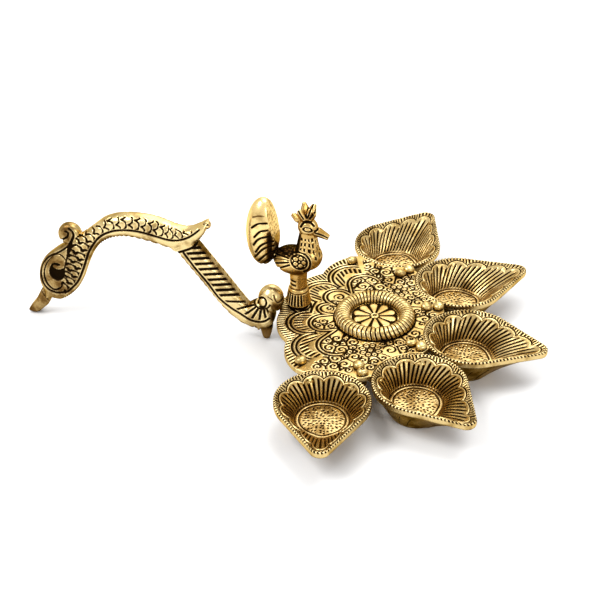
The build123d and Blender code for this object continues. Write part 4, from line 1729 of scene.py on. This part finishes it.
    def arm(self, reach: Array, rise: Array, flat: Array) -> Array:
        """Draw the arm's ornament.

        Args:
            reach: First coordinate of each point, on the middle plane.
            rise: Second coordinate of each point, on the middle plane.
            flat: 1 on the arm's faces, 0 on its edges.

        Returns:
            1 along the hatches, the root's fan and volute and the bud's leaves, 0 between them.
        """
        _, below = follow(smooth_path(self.arm_border), reach, rise)
        x, y, wide, tall = self.volute
        around, far = np.degrees(np.arctan2(rise - y, reach - x)), np.hypot(reach - x, rise - y)
        slant = rise + self.hatch_slant * reach - self.hatch_start
        on_fan = 1 - ease(3.6, 5.0, slant - 0.05 * reach)
        hatch = rungs(slant, self.hatch_pitch, self.hatch_half) * (1 - on_fan) * ease(11, 13, reach)
        fan = rungs(around + self.fan_start, self.fan_pitch, self.line_half, far * self.fan_span)
        fan = fan * on_fan * ease(4.6, 5.2, far)
        hatched = np.maximum(hatch, fan) * ease(1.1, 1.6, -below) * (reach > 5) * flat
        oval = np.hypot((reach - x) / wide, (rise - y) / tall)
        ring = stroke((oval - 1) * 2.6, self.line_half) * (1 - (around > -60) * (around < -25))
        moat = 0.8 * stroke(far - self.volute_moat, 0.5) * (around < 20) * (around > -170)
        veins = [0.5 * stroke(follow(smooth_path(p), reach, rise)[1], 0.38) for p in self.bud_veins]
        return np.maximum.reduce([stroke(below, self.line_half), hatched, ring, moat, *veins])

    def relief(self, points: Array, normals: Array) -> Skinned:
        """Give the depth of cut and the patina over the handle's skin."""
        out, up, side = points[:, 0], points[:, 1], np.abs(points[:, 2])
        turned_up, aside = normals[:, 1], np.abs(normals[:, 2])
        reach, rise = out + self.draw_reach * side, up - self.draw_rise * side
        facing = ease(0.02, 0.2, aside + 0.6 * np.maximum(turned_up, 0))
        outline = self.outline()
        _, inside = follow(np.vstack([outline, outline[:1]]), out, up)
        border_run, border = follow(smooth_path(self.border), reach, rise)
        on_swan = np.where((inside > -0.3) & (out > self.swan_start), 1.0, 0.0)
        on_swan = on_swan * (1 - (up < 29) * (out < 60))
        on_arm = (1 - on_swan) * (out < self.arm_end)
        flat = np.maximum(ease(0.1, 0.3, aside), ease(0.8, 1.6, side))
        crown = ease(0.25, 0.5, aside + 0.3 * (out > 96))
        scaled = self.scales(border_run, -border) * ease(0.8, 1.2, -border) * crown
        _, beyond = follow(smooth_path(self.shade), reach, rise)
        scaled = scaled * (reach < self.scale_reach) * ((beyond < 0) | (reach < 104))
        scaled = scaled * (1 - 0.55 * ease(88, 104, border_run))
        neck = np.maximum(stroke(border, self.line_half), scaled)
        past_root = on_arm * (out > self.bare_root)
        lip = np.maximum((border > 1.6) * on_swan, past_root * (turned_up < -0.2))
        notch = rungs(reach * 0.6 - rise, self.notch_pitch, 0.4) * lip * ease(0.3, 0.6, -turned_up)
        collar = 0.5 * stroke(out - up * 0.62 - 131.6, 0.35) * (up < -3)
        # a cut line where the swan's lip overlaps the arm, painted dark as the shadow under the lip
        lip_shadow_crease = stroke(inside + 0.4, 0.6) * (out > 41) * (out < self.arm_end) * (up < 38)
        head, arm = self.head(reach, rise), self.arm(reach, rise, flat)
        faces = np.maximum.reduce([neck * on_swan, head, arm * on_arm])
        cut = np.maximum.reduce([faces * facing, 0.55 * notch, collar, lip_shadow_crease])
        # painted shade along the arm's edges, which turn away from the light; also darker at the root by
        # the plate and over the head
        root = (1 - ease(2, 6, reach)) * (1 - ease(0, 4, rise))
        edge = (1 - ease(0.15, 0.6, aside)) * past_root
        darkening_and_painted_shade = np.maximum.reduce([0.5 * root, 0.3 * edge, 0.3 * ease(98, 112, reach)])
        return self.depth * np.minimum(cut, self.deepest), np.clip(np.maximum(cut * 1.1, darkening_and_painted_shade), 0, 1)

    def placed(self, points: Array) -> Array:
        """Turn points from the handle's side plane to its place beside the plate."""
        out, side = (np.array([*polar(1, self.turn - lag), 0]) for lag in (0, 90))
        placed = np.outer(points[:, 0] + self.plate_reach, out) + np.outer(points[:, 2], side)
        placed[:, 2] = np.maximum(points[:, 1], self.table)
        return placed

    def build(self, datum: Datum, finish: Material) -> None:
        """Make the handle."""
        casting = Casting("handle_cast", self.voxel, self.easing)
        mesh = casting.pour(self.forms())
        brightened = self.rubbing_and_painted_highlight * (1 - ease(90, 104, Surface(mesh).points()[:, 0]))
        casting.chase(mesh, self.relief, lambda points: datum.metres(self.placed(points)))
        weather(mesh, rounds=2, low=0.03, high=0.22, brightened=brightened)
        Piece("handle_cast", Body.LAMP, Slot.HANDLE, ("handle",), finish).keep(welded(mesh))


@dataclass
class Foot:
    """The pointed foot under the handle's root, with the stud that draws the root on."""

    reach: float = 6.4
    plate_reach: float = 50.6
    turn: float = 186.0
    profile: tuple[Plan, ...] = (
        (0, 5.0), (2.0, 5.0), (2.0, -11.1), (3.5, -11.13), (3.5, -12.7), (3.15, -14.6), (2.7, -16.6),
        (2.2, -18.6), (1.8, -19.7), (1.3, -20.0), (0, -20.0),
    )
    steps: int = 48

    def build(self, datum: Datum, finish: Material) -> None:
        """Make the foot."""
        bm = bmesh.new()
        turned(bm, self.profile, self.steps, (*polar(self.plate_reach + self.reach, self.turn), 0))
        bmesh.ops.recalc_face_normals(bm, faces=bm.faces[:])
        mesh = mesh_of(bm, "foot_turned")
        surface = Surface(mesh)
        points = surface.points()
        surface.paint("patina", 0.12 + 0.5 * ease(-15, -11.5, points[:, 2]))
        surface.move(datum.metres(points))
        Piece("foot_turned", Body.LAMP, Slot.FOOT, ("handle_foot",), finish).keep(mesh)


@dataclass
class Peacock:
    """The bird on its fluted pedestal, facing the bowls with its tail raised."""

    spot: Plan = (-41.0, 0.0)
    pedestal: tuple[Plan, ...] = (
        (0, 0), (5.7, 0), (5.6, 1.9), (6.6, 2.2), (6.7, 2.7), (6.2, 5.0), (5.5, 9.2), (5.55, 9.8),
        (5.2, 10.6), (4.8, 11.6), (4.5, 12.6), (4.4, 15.0), (4.6, 19.0), (4.6, 23.5), (0, 23.5),
    )
    pedestal_steps: int = 56
    body_z: float = 27.4
    body_back: float = 2.2
    body_radii: Point = (11.0, 7.8, 7.8)
    breast_lift: float = 3.6
    breast_radii: Point = (7.6, 7.6, 7.6)
    head_z: float = 48.2
    head_radii: Point = (5.2, 4.7, 5.1)
    fore_x: float = -36.0
    neck: Point = (6.0, 3.7, 12.0)
    crown: Point = (3.0, 3.0, 5.4)
    beak: Point = (3.6, 1.5, 11.9)
    beak_lean: float = 112.0
    feather: Leaf = Leaf(2.9, 2.9, 2.8, 1.0)
    rear_feather: Leaf = Leaf(2.3, 2.3, 1.5, 0.9)
    feather_turns: tuple = (-52, 52, -128, 128, 180)
    feather_leans: tuple = (18, 18, 26, 26, 54)
    feather_root: float = 4.3
    feather_half: float = 1.4
    feather_round: float = 0.9
    tail_at: Point = (-59.7, 0.0, 41.4)
    tail_radii: Point = (8.8, 8.8, 19.4)
    tail_face_fore: float = 7.3
    tail_face_lean: float = 14.0
    draw_fore: float = 0.30
    draw_rise: float = 0.64
    tail_lines: tuple = (
        ((-64.9, 48.5), (-62.0, 49.6), (-59.2, 50.0)), ((-65.7, 42.1), (-62.3, 44.8), (-57.4, 46.1)),
        ((-64.3, 36.8), (-61.2, 40.4), (-57.0, 42.0)), ((-64.8, 32.1), (-61.7, 36.1), (-55.6, 38.9)),
        ((-63.7, 28.0), (-60.2, 32.9), (-54.1, 36.2)), ((-64.2, 24.9), (-59.5, 30.5), (-53.7, 33.7)),
        ((-62.3, 23.0), (-57.2, 28.3), (-53.4, 30.7)), ((-60.0, 21.6), (-56.2, 25.6), (-53.0, 27.8)),
    )
    wing: Plan = (-40.6, 26.3)
    brow: tuple = ((-39.9, 47.4), (-38.6, 49.7), (-36.5, 50.9), (-34.4, 50.7), (-32.8, 49.2))
    eye: Plan = (-36.2, 46.2)
    mouth: tuple = ((-32.3, 45.1), (-28.6, 44.5), (-25.5, 43.3))
    cheek: tuple = ((-32.3, 46.0), (-31.4, 46.8), (-30.7, 48.0))
    crest_gaps: tuple = (
        ((-38.0, 59.8), (-36.5, 52.9), (-34.4, 59.4)), ((-41.6, 58.0), (-40.4, 55.2), (-38.4, 52.2)),
        ((-31.6, 58.6), (-33.2, 55.6), (-35.0, 52.6)),
    )
    forehead: tuple = ((-31.8, 55.2), (-27.6, 49.0))
    flutes: int = 22
    flute_span: float = 1.85
    collars: Band = (9.6, 11.9)
    ring_start: float = 14.1
    ring_pitch: float = 2.5
    wing_petals: int = 5
    plume_pitch: float = 15.0
    neck_dashes: int = 15
    dash_tier: float = 3.5
    # how much brighter the tail is made: a painted highlight where the light falls on it
    rubbing_and_painted_highlight: float = 0.5
    depth: float = 0.55
    voxel: float = 0.26
    easing: int = 4

    def tail(self, bm: BMesh) -> None:
        """Add the raised tail, cut flat in front."""
        made = egg(bm, self.tail_radii, (0, 0, 0))
        lean = math.radians(self.tail_face_lean)
        out = Vector((math.cos(lean), 0, math.sin(lean)))
        cut = bmesh.ops.bisect_plane(
            bm, geom=joined(made), plane_co=(self.tail_face_fore, 0, 0), plane_no=out, clear_outer=True
        )
        rim = [e for e in cut["geom_cut"] if isinstance(e, BMEdge)]
        bmesh.ops.contextual_create(bm, geom=rim)
        kept = list({v for e in rim for v in e.verts} | {v for v in made if v.is_valid})
        bmesh.ops.translate(bm, verts=kept, vec=self.tail_at)

    def forms(self) -> BMesh:
        """Build the bird's closed forms."""
        bm = bmesh.new()
        self.tail(bm)
        turned(bm, self.pedestal, self.pedestal_steps, (*self.spot, 0))
        egg(bm, self.body_radii, (self.spot[0] - self.body_back, 0, self.body_z))
        egg(bm, self.breast_radii, (self.fore_x, 0, self.body_z + self.breast_lift))
        cone(bm, *self.neck, Matrix.Translation((self.fore_x, 0, self.head_z - self.neck[2])))
        egg(bm, self.head_radii, (self.fore_x, 0, self.head_z))
        head = Matrix.Translation((self.fore_x, 0, self.head_z))
        cone(bm, *self.crown, head)
        cone(bm, *self.beak, head @ spun(self.beak_lean, "Y"))
        around = np.linspace(0, 1, 36, endpoint=False)
        for turn, lean in zip(self.feather_turns, self.feather_leans):
            leaf = self.rear_feather if turn == 180 else self.feather
            made = pillow(bm, leaf.outline(around), self.feather_half, self.feather_round, 3)
            place = head @ spun(turn, "Z") @ spun(lean, "Y")
            place = place @ Matrix.Translation((0, 0, self.feather_root)) @ spun(-90, "Y")
            bmesh.ops.transform(bm, matrix=place, verts=made)
        bmesh.ops.recalc_face_normals(bm, faces=bm.faces[:])
        return bm

    def plumage(self, x: Array, z: Array) -> Array:
        """Draw the wing's disc and flower, the arc round it and the plumes behind it."""
        wx, wz = x - self.wing[0], z - self.wing[1]
        far, turn = np.hypot(wx, wz), np.arctan2(wz, wx)
        slice_turns = turn / TAU * self.wing_petals
        petal = (slice_turns - np.round(slice_turns)) * TAU / self.wing_petals
        petals = stroke(np.hypot(far * np.cos(petal) - 2.4, far * np.sin(petal)) - 1.45, 0.3)
        flower = np.maximum(petals, stroke(far - 0.8, 0.3)) * (far < 3.9)
        disc = stroke(far - 4.3, 0.42)
        arc = stroke(far - 6.0, 0.55) * (turn > -1.2) * (turn < 2.4)
        back = np.degrees(np.abs(math.pi - np.mod(turn, TAU)))
        plumes = rungs(back + 2, self.plume_pitch, 0.5, far * 0.26) * ease(5.2, 5.8, far)
        plumes = plumes * (1 - ease(34, 40, back))
        return np.maximum.reduce([flower, disc, arc, plumes * (1 - ease(12.5, 14.0, far))])

    def face(self, x: Array, z: Array) -> Array:
        """Draw the brow, half-closed eye, mouth and cheek, and the gaps between the crest's petals."""
        paths = [(self.brow, 0.62), (self.mouth, 0.42), (self.cheek, 0.42)]
        paths += [(gap, 0.5) for gap in self.crest_gaps]
        lines = [stroke(follow(smooth_path(p), x, z)[1], half) for p, half in paths]
        eye = np.hypot((x - self.eye[0]) / 2.3, (z - self.eye[1]) / 1.25)
        run, off = follow(np.array(self.forehead), x, z)
        ticks = rungs(run, 1.5, 0.42) * (1 - ease(0.7, 1.1, np.abs(off)))
        return np.maximum.reduce([*lines, stroke((eye - 1) * 1.5, 0.36), ticks * (run > 0.4) * (run < 7)])

    def stand(self, x: Array, y: Array, z: Array) -> Array:
        """Draw the pedestal's flutes, collars and rings."""
        near = np.hypot(x - self.spot[0], y)
        angle = np.arctan2(y, x - self.spot[0])
        flank = 1 - ease(0.35, 0.6, np.cos(angle + 0.3 * np.sign(y)))
        flutes = rungs(angle / TAU * self.flutes + 0.5, 1, 0.52, self.flute_span)
        flutes = flutes * ease(2.3, 2.7, z) * (1 - ease(8.6, 9.2, z)) * flank * (z < self.collars[0])
        collar = np.maximum.reduce([stroke(z - height, 0.4) for height in self.collars]) * (near < 7)
        rings = rungs(z - self.ring_start, self.ring_pitch, 0.55)
        rings = rings * ease(11.9, 12.2, z) * (1 - ease(17.9, 18.4, z))
        rings = rings * (1 - ease(-0.2, 0.15, np.cos(angle))) * (near < 6.4)
        return np.maximum.reduce([flutes, 0.5 * collar, rings])

    def dashes(self, x: Array, y: Array, z: Array) -> Array:
        """Draw uneven rows of dashes down the neck and breast."""
        tiers = z / self.dash_tier + 0.22 * np.sin(1.3 * y)
        tier, share = np.floor(tiers), np.mod(tiers, 1)
        turn = np.arctan2(y, x - self.fore_x) / TAU * self.neck_dashes
        turn = turn + 0.3 * np.sin(2.4 * tier) + 0.12 * np.sin(3 * y)
        dash = rungs(turn + 0.5 * np.mod(tier, 2), 1, 0.5, 2.2)
        dash = dash * ease(0.1, 0.2, share) * (1 - ease(0.75, 0.85, share))
        return dash * ease(31.5, 32.5, z) * (1 - ease(43, 44, z)) * (x > -44)

    def relief(self, points: Array, normals: Array) -> Skinned:
        """Give the depth of cut and the patina over the bird's skin."""
        x, y, z = points.T
        fore, up = normals[:, 0], normals[:, 2]
        drawn_x, drawn_z = x - self.draw_fore * np.abs(y), z - self.draw_rise * np.abs(y)
        side = ease(0.12, 0.4, np.abs(normals[:, 1]) + 0.25 * np.maximum(up, 0))
        wing = self.plumage(drawn_x, drawn_z) * side * (z > 19.5) * (z < 36) * (x > -54) * (x < -29)
        off_wing = np.hypot(drawn_x - self.wing[0], drawn_z - self.wing[1]) > 7.2
        face = self.face(drawn_x, drawn_z) * side * (z > 43) * (x > -43)
        on_tail = 1 - ease(-52.4, -51.4, x)
        barbs = [stroke(follow(smooth_path(p), drawn_x, drawn_z)[1], 0.52) for p in self.tail_lines]
        barbs[0] = 0.3 * barbs[0]
        barbed = np.max(barbs, axis=0) * side * on_tail * (z > 22)
        front = ease(0.72, 0.88, fore) * on_tail * (z > 34)
        spots = 0.28 * (1 - ease(0.15, 0.4, pits(y, z, 2.1, 3.0))) * front
        hem = ease(0.42, 0.6, fore) * (1 - ease(0.72, 0.85, fore)) * on_tail * (z > 30)
        cut = np.maximum.reduce([
            self.stand(x, y, z), wing, 0.9 * self.dashes(x, y, z) * off_wing, face, barbed, spots,
            0.6 * hem * (1 - ease(44, 48, z)),
        ])
        # painted shadow at the pedestal's foot, under the skirt's flare; the saddle and the tail's root are
        # dark patina at the tail's joint, and the back of the neck is darker
        plinth_shadow = 1 - ease(1.9, 2.5, z)
        saddle = (0.6 + 0.4 * ease(0.2, 0.5, pits(x, y, 1.6, 1.0))) * ease(0.45, 0.8, up)
        saddle = saddle * ease(-55.5, -54, x) * (1 - ease(-43, -41, x)) * (z > 29) * (z < 39)
        nape = ease(0.35, 0.7, -fore) * ease(33, 35, z) * (1 - ease(44, 46, z)) * (x > -44) * (x < -38)
        root = ease(0.3, 0.7, fore) * on_tail * (1 - ease(30, 38, z))
        darkening_and_painted_shade = np.maximum.reduce([cut * 1.1, plinth_shadow, 0.95 * saddle, 0.8 * nape, 0.7 * root, 0.1 * front])
        return self.depth * cut, np.clip(darkening_and_painted_shade, 0, 1)

    def build(self, datum: Datum, finish: Material) -> None:
        """Make the peacock."""
        casting = Casting("peacock_cast", self.voxel, self.easing)
        mesh = casting.pour(self.forms())
        on_tail = Surface(mesh).points()[:, 0] < self.tail_at[0] + self.tail_face_fore
        casting.chase(mesh, self.relief, datum.metres)
        # the tail is brightened as a painted highlight
        weather(mesh, rounds=2, low=0.03, high=0.22, brightened=self.rubbing_and_painted_highlight * on_tail)
        Piece("peacock_cast", Body.BIRD, Slot.ORNAMENT, ("peacock",), finish).keep(welded(mesh))


@dataclass
class Fasteners:
    """The screw and washer under the peacock, which keep their turned shapes."""

    nodes: tuple[str, ...] = ("peacock_screw", "peacock_washer")

    def build(self, nodes: dict[str, Object], finish: Material) -> None:
        """Give the fasteners their steel."""
        for name in self.nodes:
            nodes[name].data.materials.clear()
            nodes[name].data.materials.append(finish)
            log.info("%s: kept, in steel", name)


# The studio


@dataclass(frozen=True)
class Softbox:
    """One square soft lamp that points at the lamp's middle."""

    name: str
    place: Point
    size: float
    power: float


@dataclass
class Studio:
    """A white floor, soft lamps and a camera at the photograph's angle."""

    target: Point = (-38.14, -6.5, 7.5)
    azimuth: float = 17.27
    elevation: float = 34.30
    distance: float = 764.7
    focal_pixels: float = 1487.9
    image_pixels: float = 600.0
    sensor: float = 36.0
    floor_z: float = -20.0
    floor_size: float = 6.0
    floor_colour: Colour = (0.93, 0.93, 0.93)
    floor_rough: float = 0.9
    ambient: float = 0.55
    boxes: tuple[Softbox, ...] = (
        Softbox("key_softbox", (-0.75, -0.55, 1.25), 0.7, 15.0),
        Softbox("top_softbox", (0.25, 0.45, 1.35), 0.9, 11.0),
        Softbox("side_softbox", (1.15, -0.75, 0.65), 0.5, 5.0),
        Softbox("rear_softbox", (-0.25, 1.25, 1.0), 1.0, 6.0),
    )

    def aim(self, obj: Object, target: Vector) -> None:
        """Turn an object's -Z towards a point."""
        obj.rotation_euler = (target - obj.location).to_track_quat("-Z", "Y").to_euler()

    def camera(self, datum: Datum) -> None:
        """Set up the camera."""
        data = bpy.data.cameras.new("camera")
        data.sensor_width = self.sensor
        data.lens = self.sensor * self.focal_pixels / self.image_pixels
        obj = put("camera", data)
        turn, lift = math.radians(self.azimuth), math.radians(self.elevation)
        back = Vector((math.sin(turn) * math.cos(lift), -math.cos(turn) * math.cos(lift), math.sin(lift)))
        target = Vector(datum.metres(np.array(self.target)))
        obj.location = target + back * (self.distance / METRE)
        self.aim(obj, target)
        bpy.context.scene.camera = obj

    def lights(self, datum: Datum) -> None:
        """Hang the soft lamps."""
        target = Vector((datum.x, datum.y, datum.z))
        for box in self.boxes:
            data = bpy.data.lights.new(box.name, "AREA")
            data.size = box.size
            data.energy = box.power
            obj = put(box.name, data)
            obj.location = target + Vector(box.place)
            self.aim(obj, target)

    def world(self) -> None:
        """Make the white surround that the camera and the metal see, with less light from it."""
        world = bpy.data.worlds.new("white_surround")
        world.use_nodes = True
        bpy.context.scene.world = world
        g = Graph(world.node_tree)
        seen = None
        for ray in ("Is Camera Ray", "Is Glossy Ray", "Is Transmission Ray"):
            part = g.node("ShaderNodeLightPath", None, None, output=ray)
            seen = part if seen is None else seen + part
        strength = seen.at_most(1.0) * (1 - self.ambient) + self.ambient
        surround = g.node("ShaderNodeBackground", None, {"Color": (1, 1, 1, 1), "Strength": strength})
        g.node("ShaderNodeOutputWorld", None, {"Surface": surround})

    def floor(self, datum: Datum) -> None:
        """Lay the pale floor."""
        bm = bmesh.new()
        bmesh.ops.create_grid(bm, x_segments=1, y_segments=1, size=self.floor_size)
        bmesh.ops.translate(bm, verts=bm.verts[:], vec=(0, 0, datum.z + self.floor_z / METRE))
        obj = put("floor", mesh_of(bm, "floor"))
        sockets = {"Base Color": (*self.floor_colour, 1), "Roughness": self.floor_rough}
        obj.data.materials.append(principled("pale_floor", lambda _: sockets))

    def build(self, datum: Datum) -> None:
        """Set the whole studio."""
        bpy.context.scene.view_settings.view_transform = "Standard"
        self.camera(datum)
        self.lights(datum)
        self.world()
        self.floor(datum)


def main() -> None:
    """Build the lamp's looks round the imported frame."""
    logging.basicConfig(level=logging.INFO, format="%(name)s: %(message)s")
    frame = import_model()
    datum = Datum.from_frame()
    fan = Fan()
    engraved = AgedGold("engraved_gold").make()
    cast = AgedGold("ornament_gold").make()
    bird_gold = AgedGold("bird_gold", gold=(0.43, 0.25, 0.06), bright=(0.92, 0.68, 0.29)).make()
    bowl_gold = AgedGold("bowl_gold").make()
    handle_gold = AgedGold("handle_gold").make()
    rivet_gold = AgedGold("rivet_gold", gold=(0.56, 0.41, 0.16), darkening_share=0.3).make()
    foot_colours = {"gold": (0.2, 0.115, 0.04), "bright": (0.34, 0.21, 0.08)}
    foot_brown = AgedGold("foot_brown", **foot_colours, rough=0.4).make()
    Plate(fan).build(datum, engraved)
    for index in range(len(fan.angles)):
        Bowl(fan, index).build(datum, bowl_gold)
    RopeRing().build(datum, cast)
    Rosette().build(datum, cast, rivet_gold)
    Rivets(fan).build(datum, rivet_gold)
    SwanHandle().build(datum, handle_gold)
    Foot().build(datum, foot_brown)
    Peacock().build(datum, bird_gold)
    Fasteners().build(frame["nodes"], PlainSteel().make())
    Studio().build(datum)


if __name__ == "__main__":
    main()
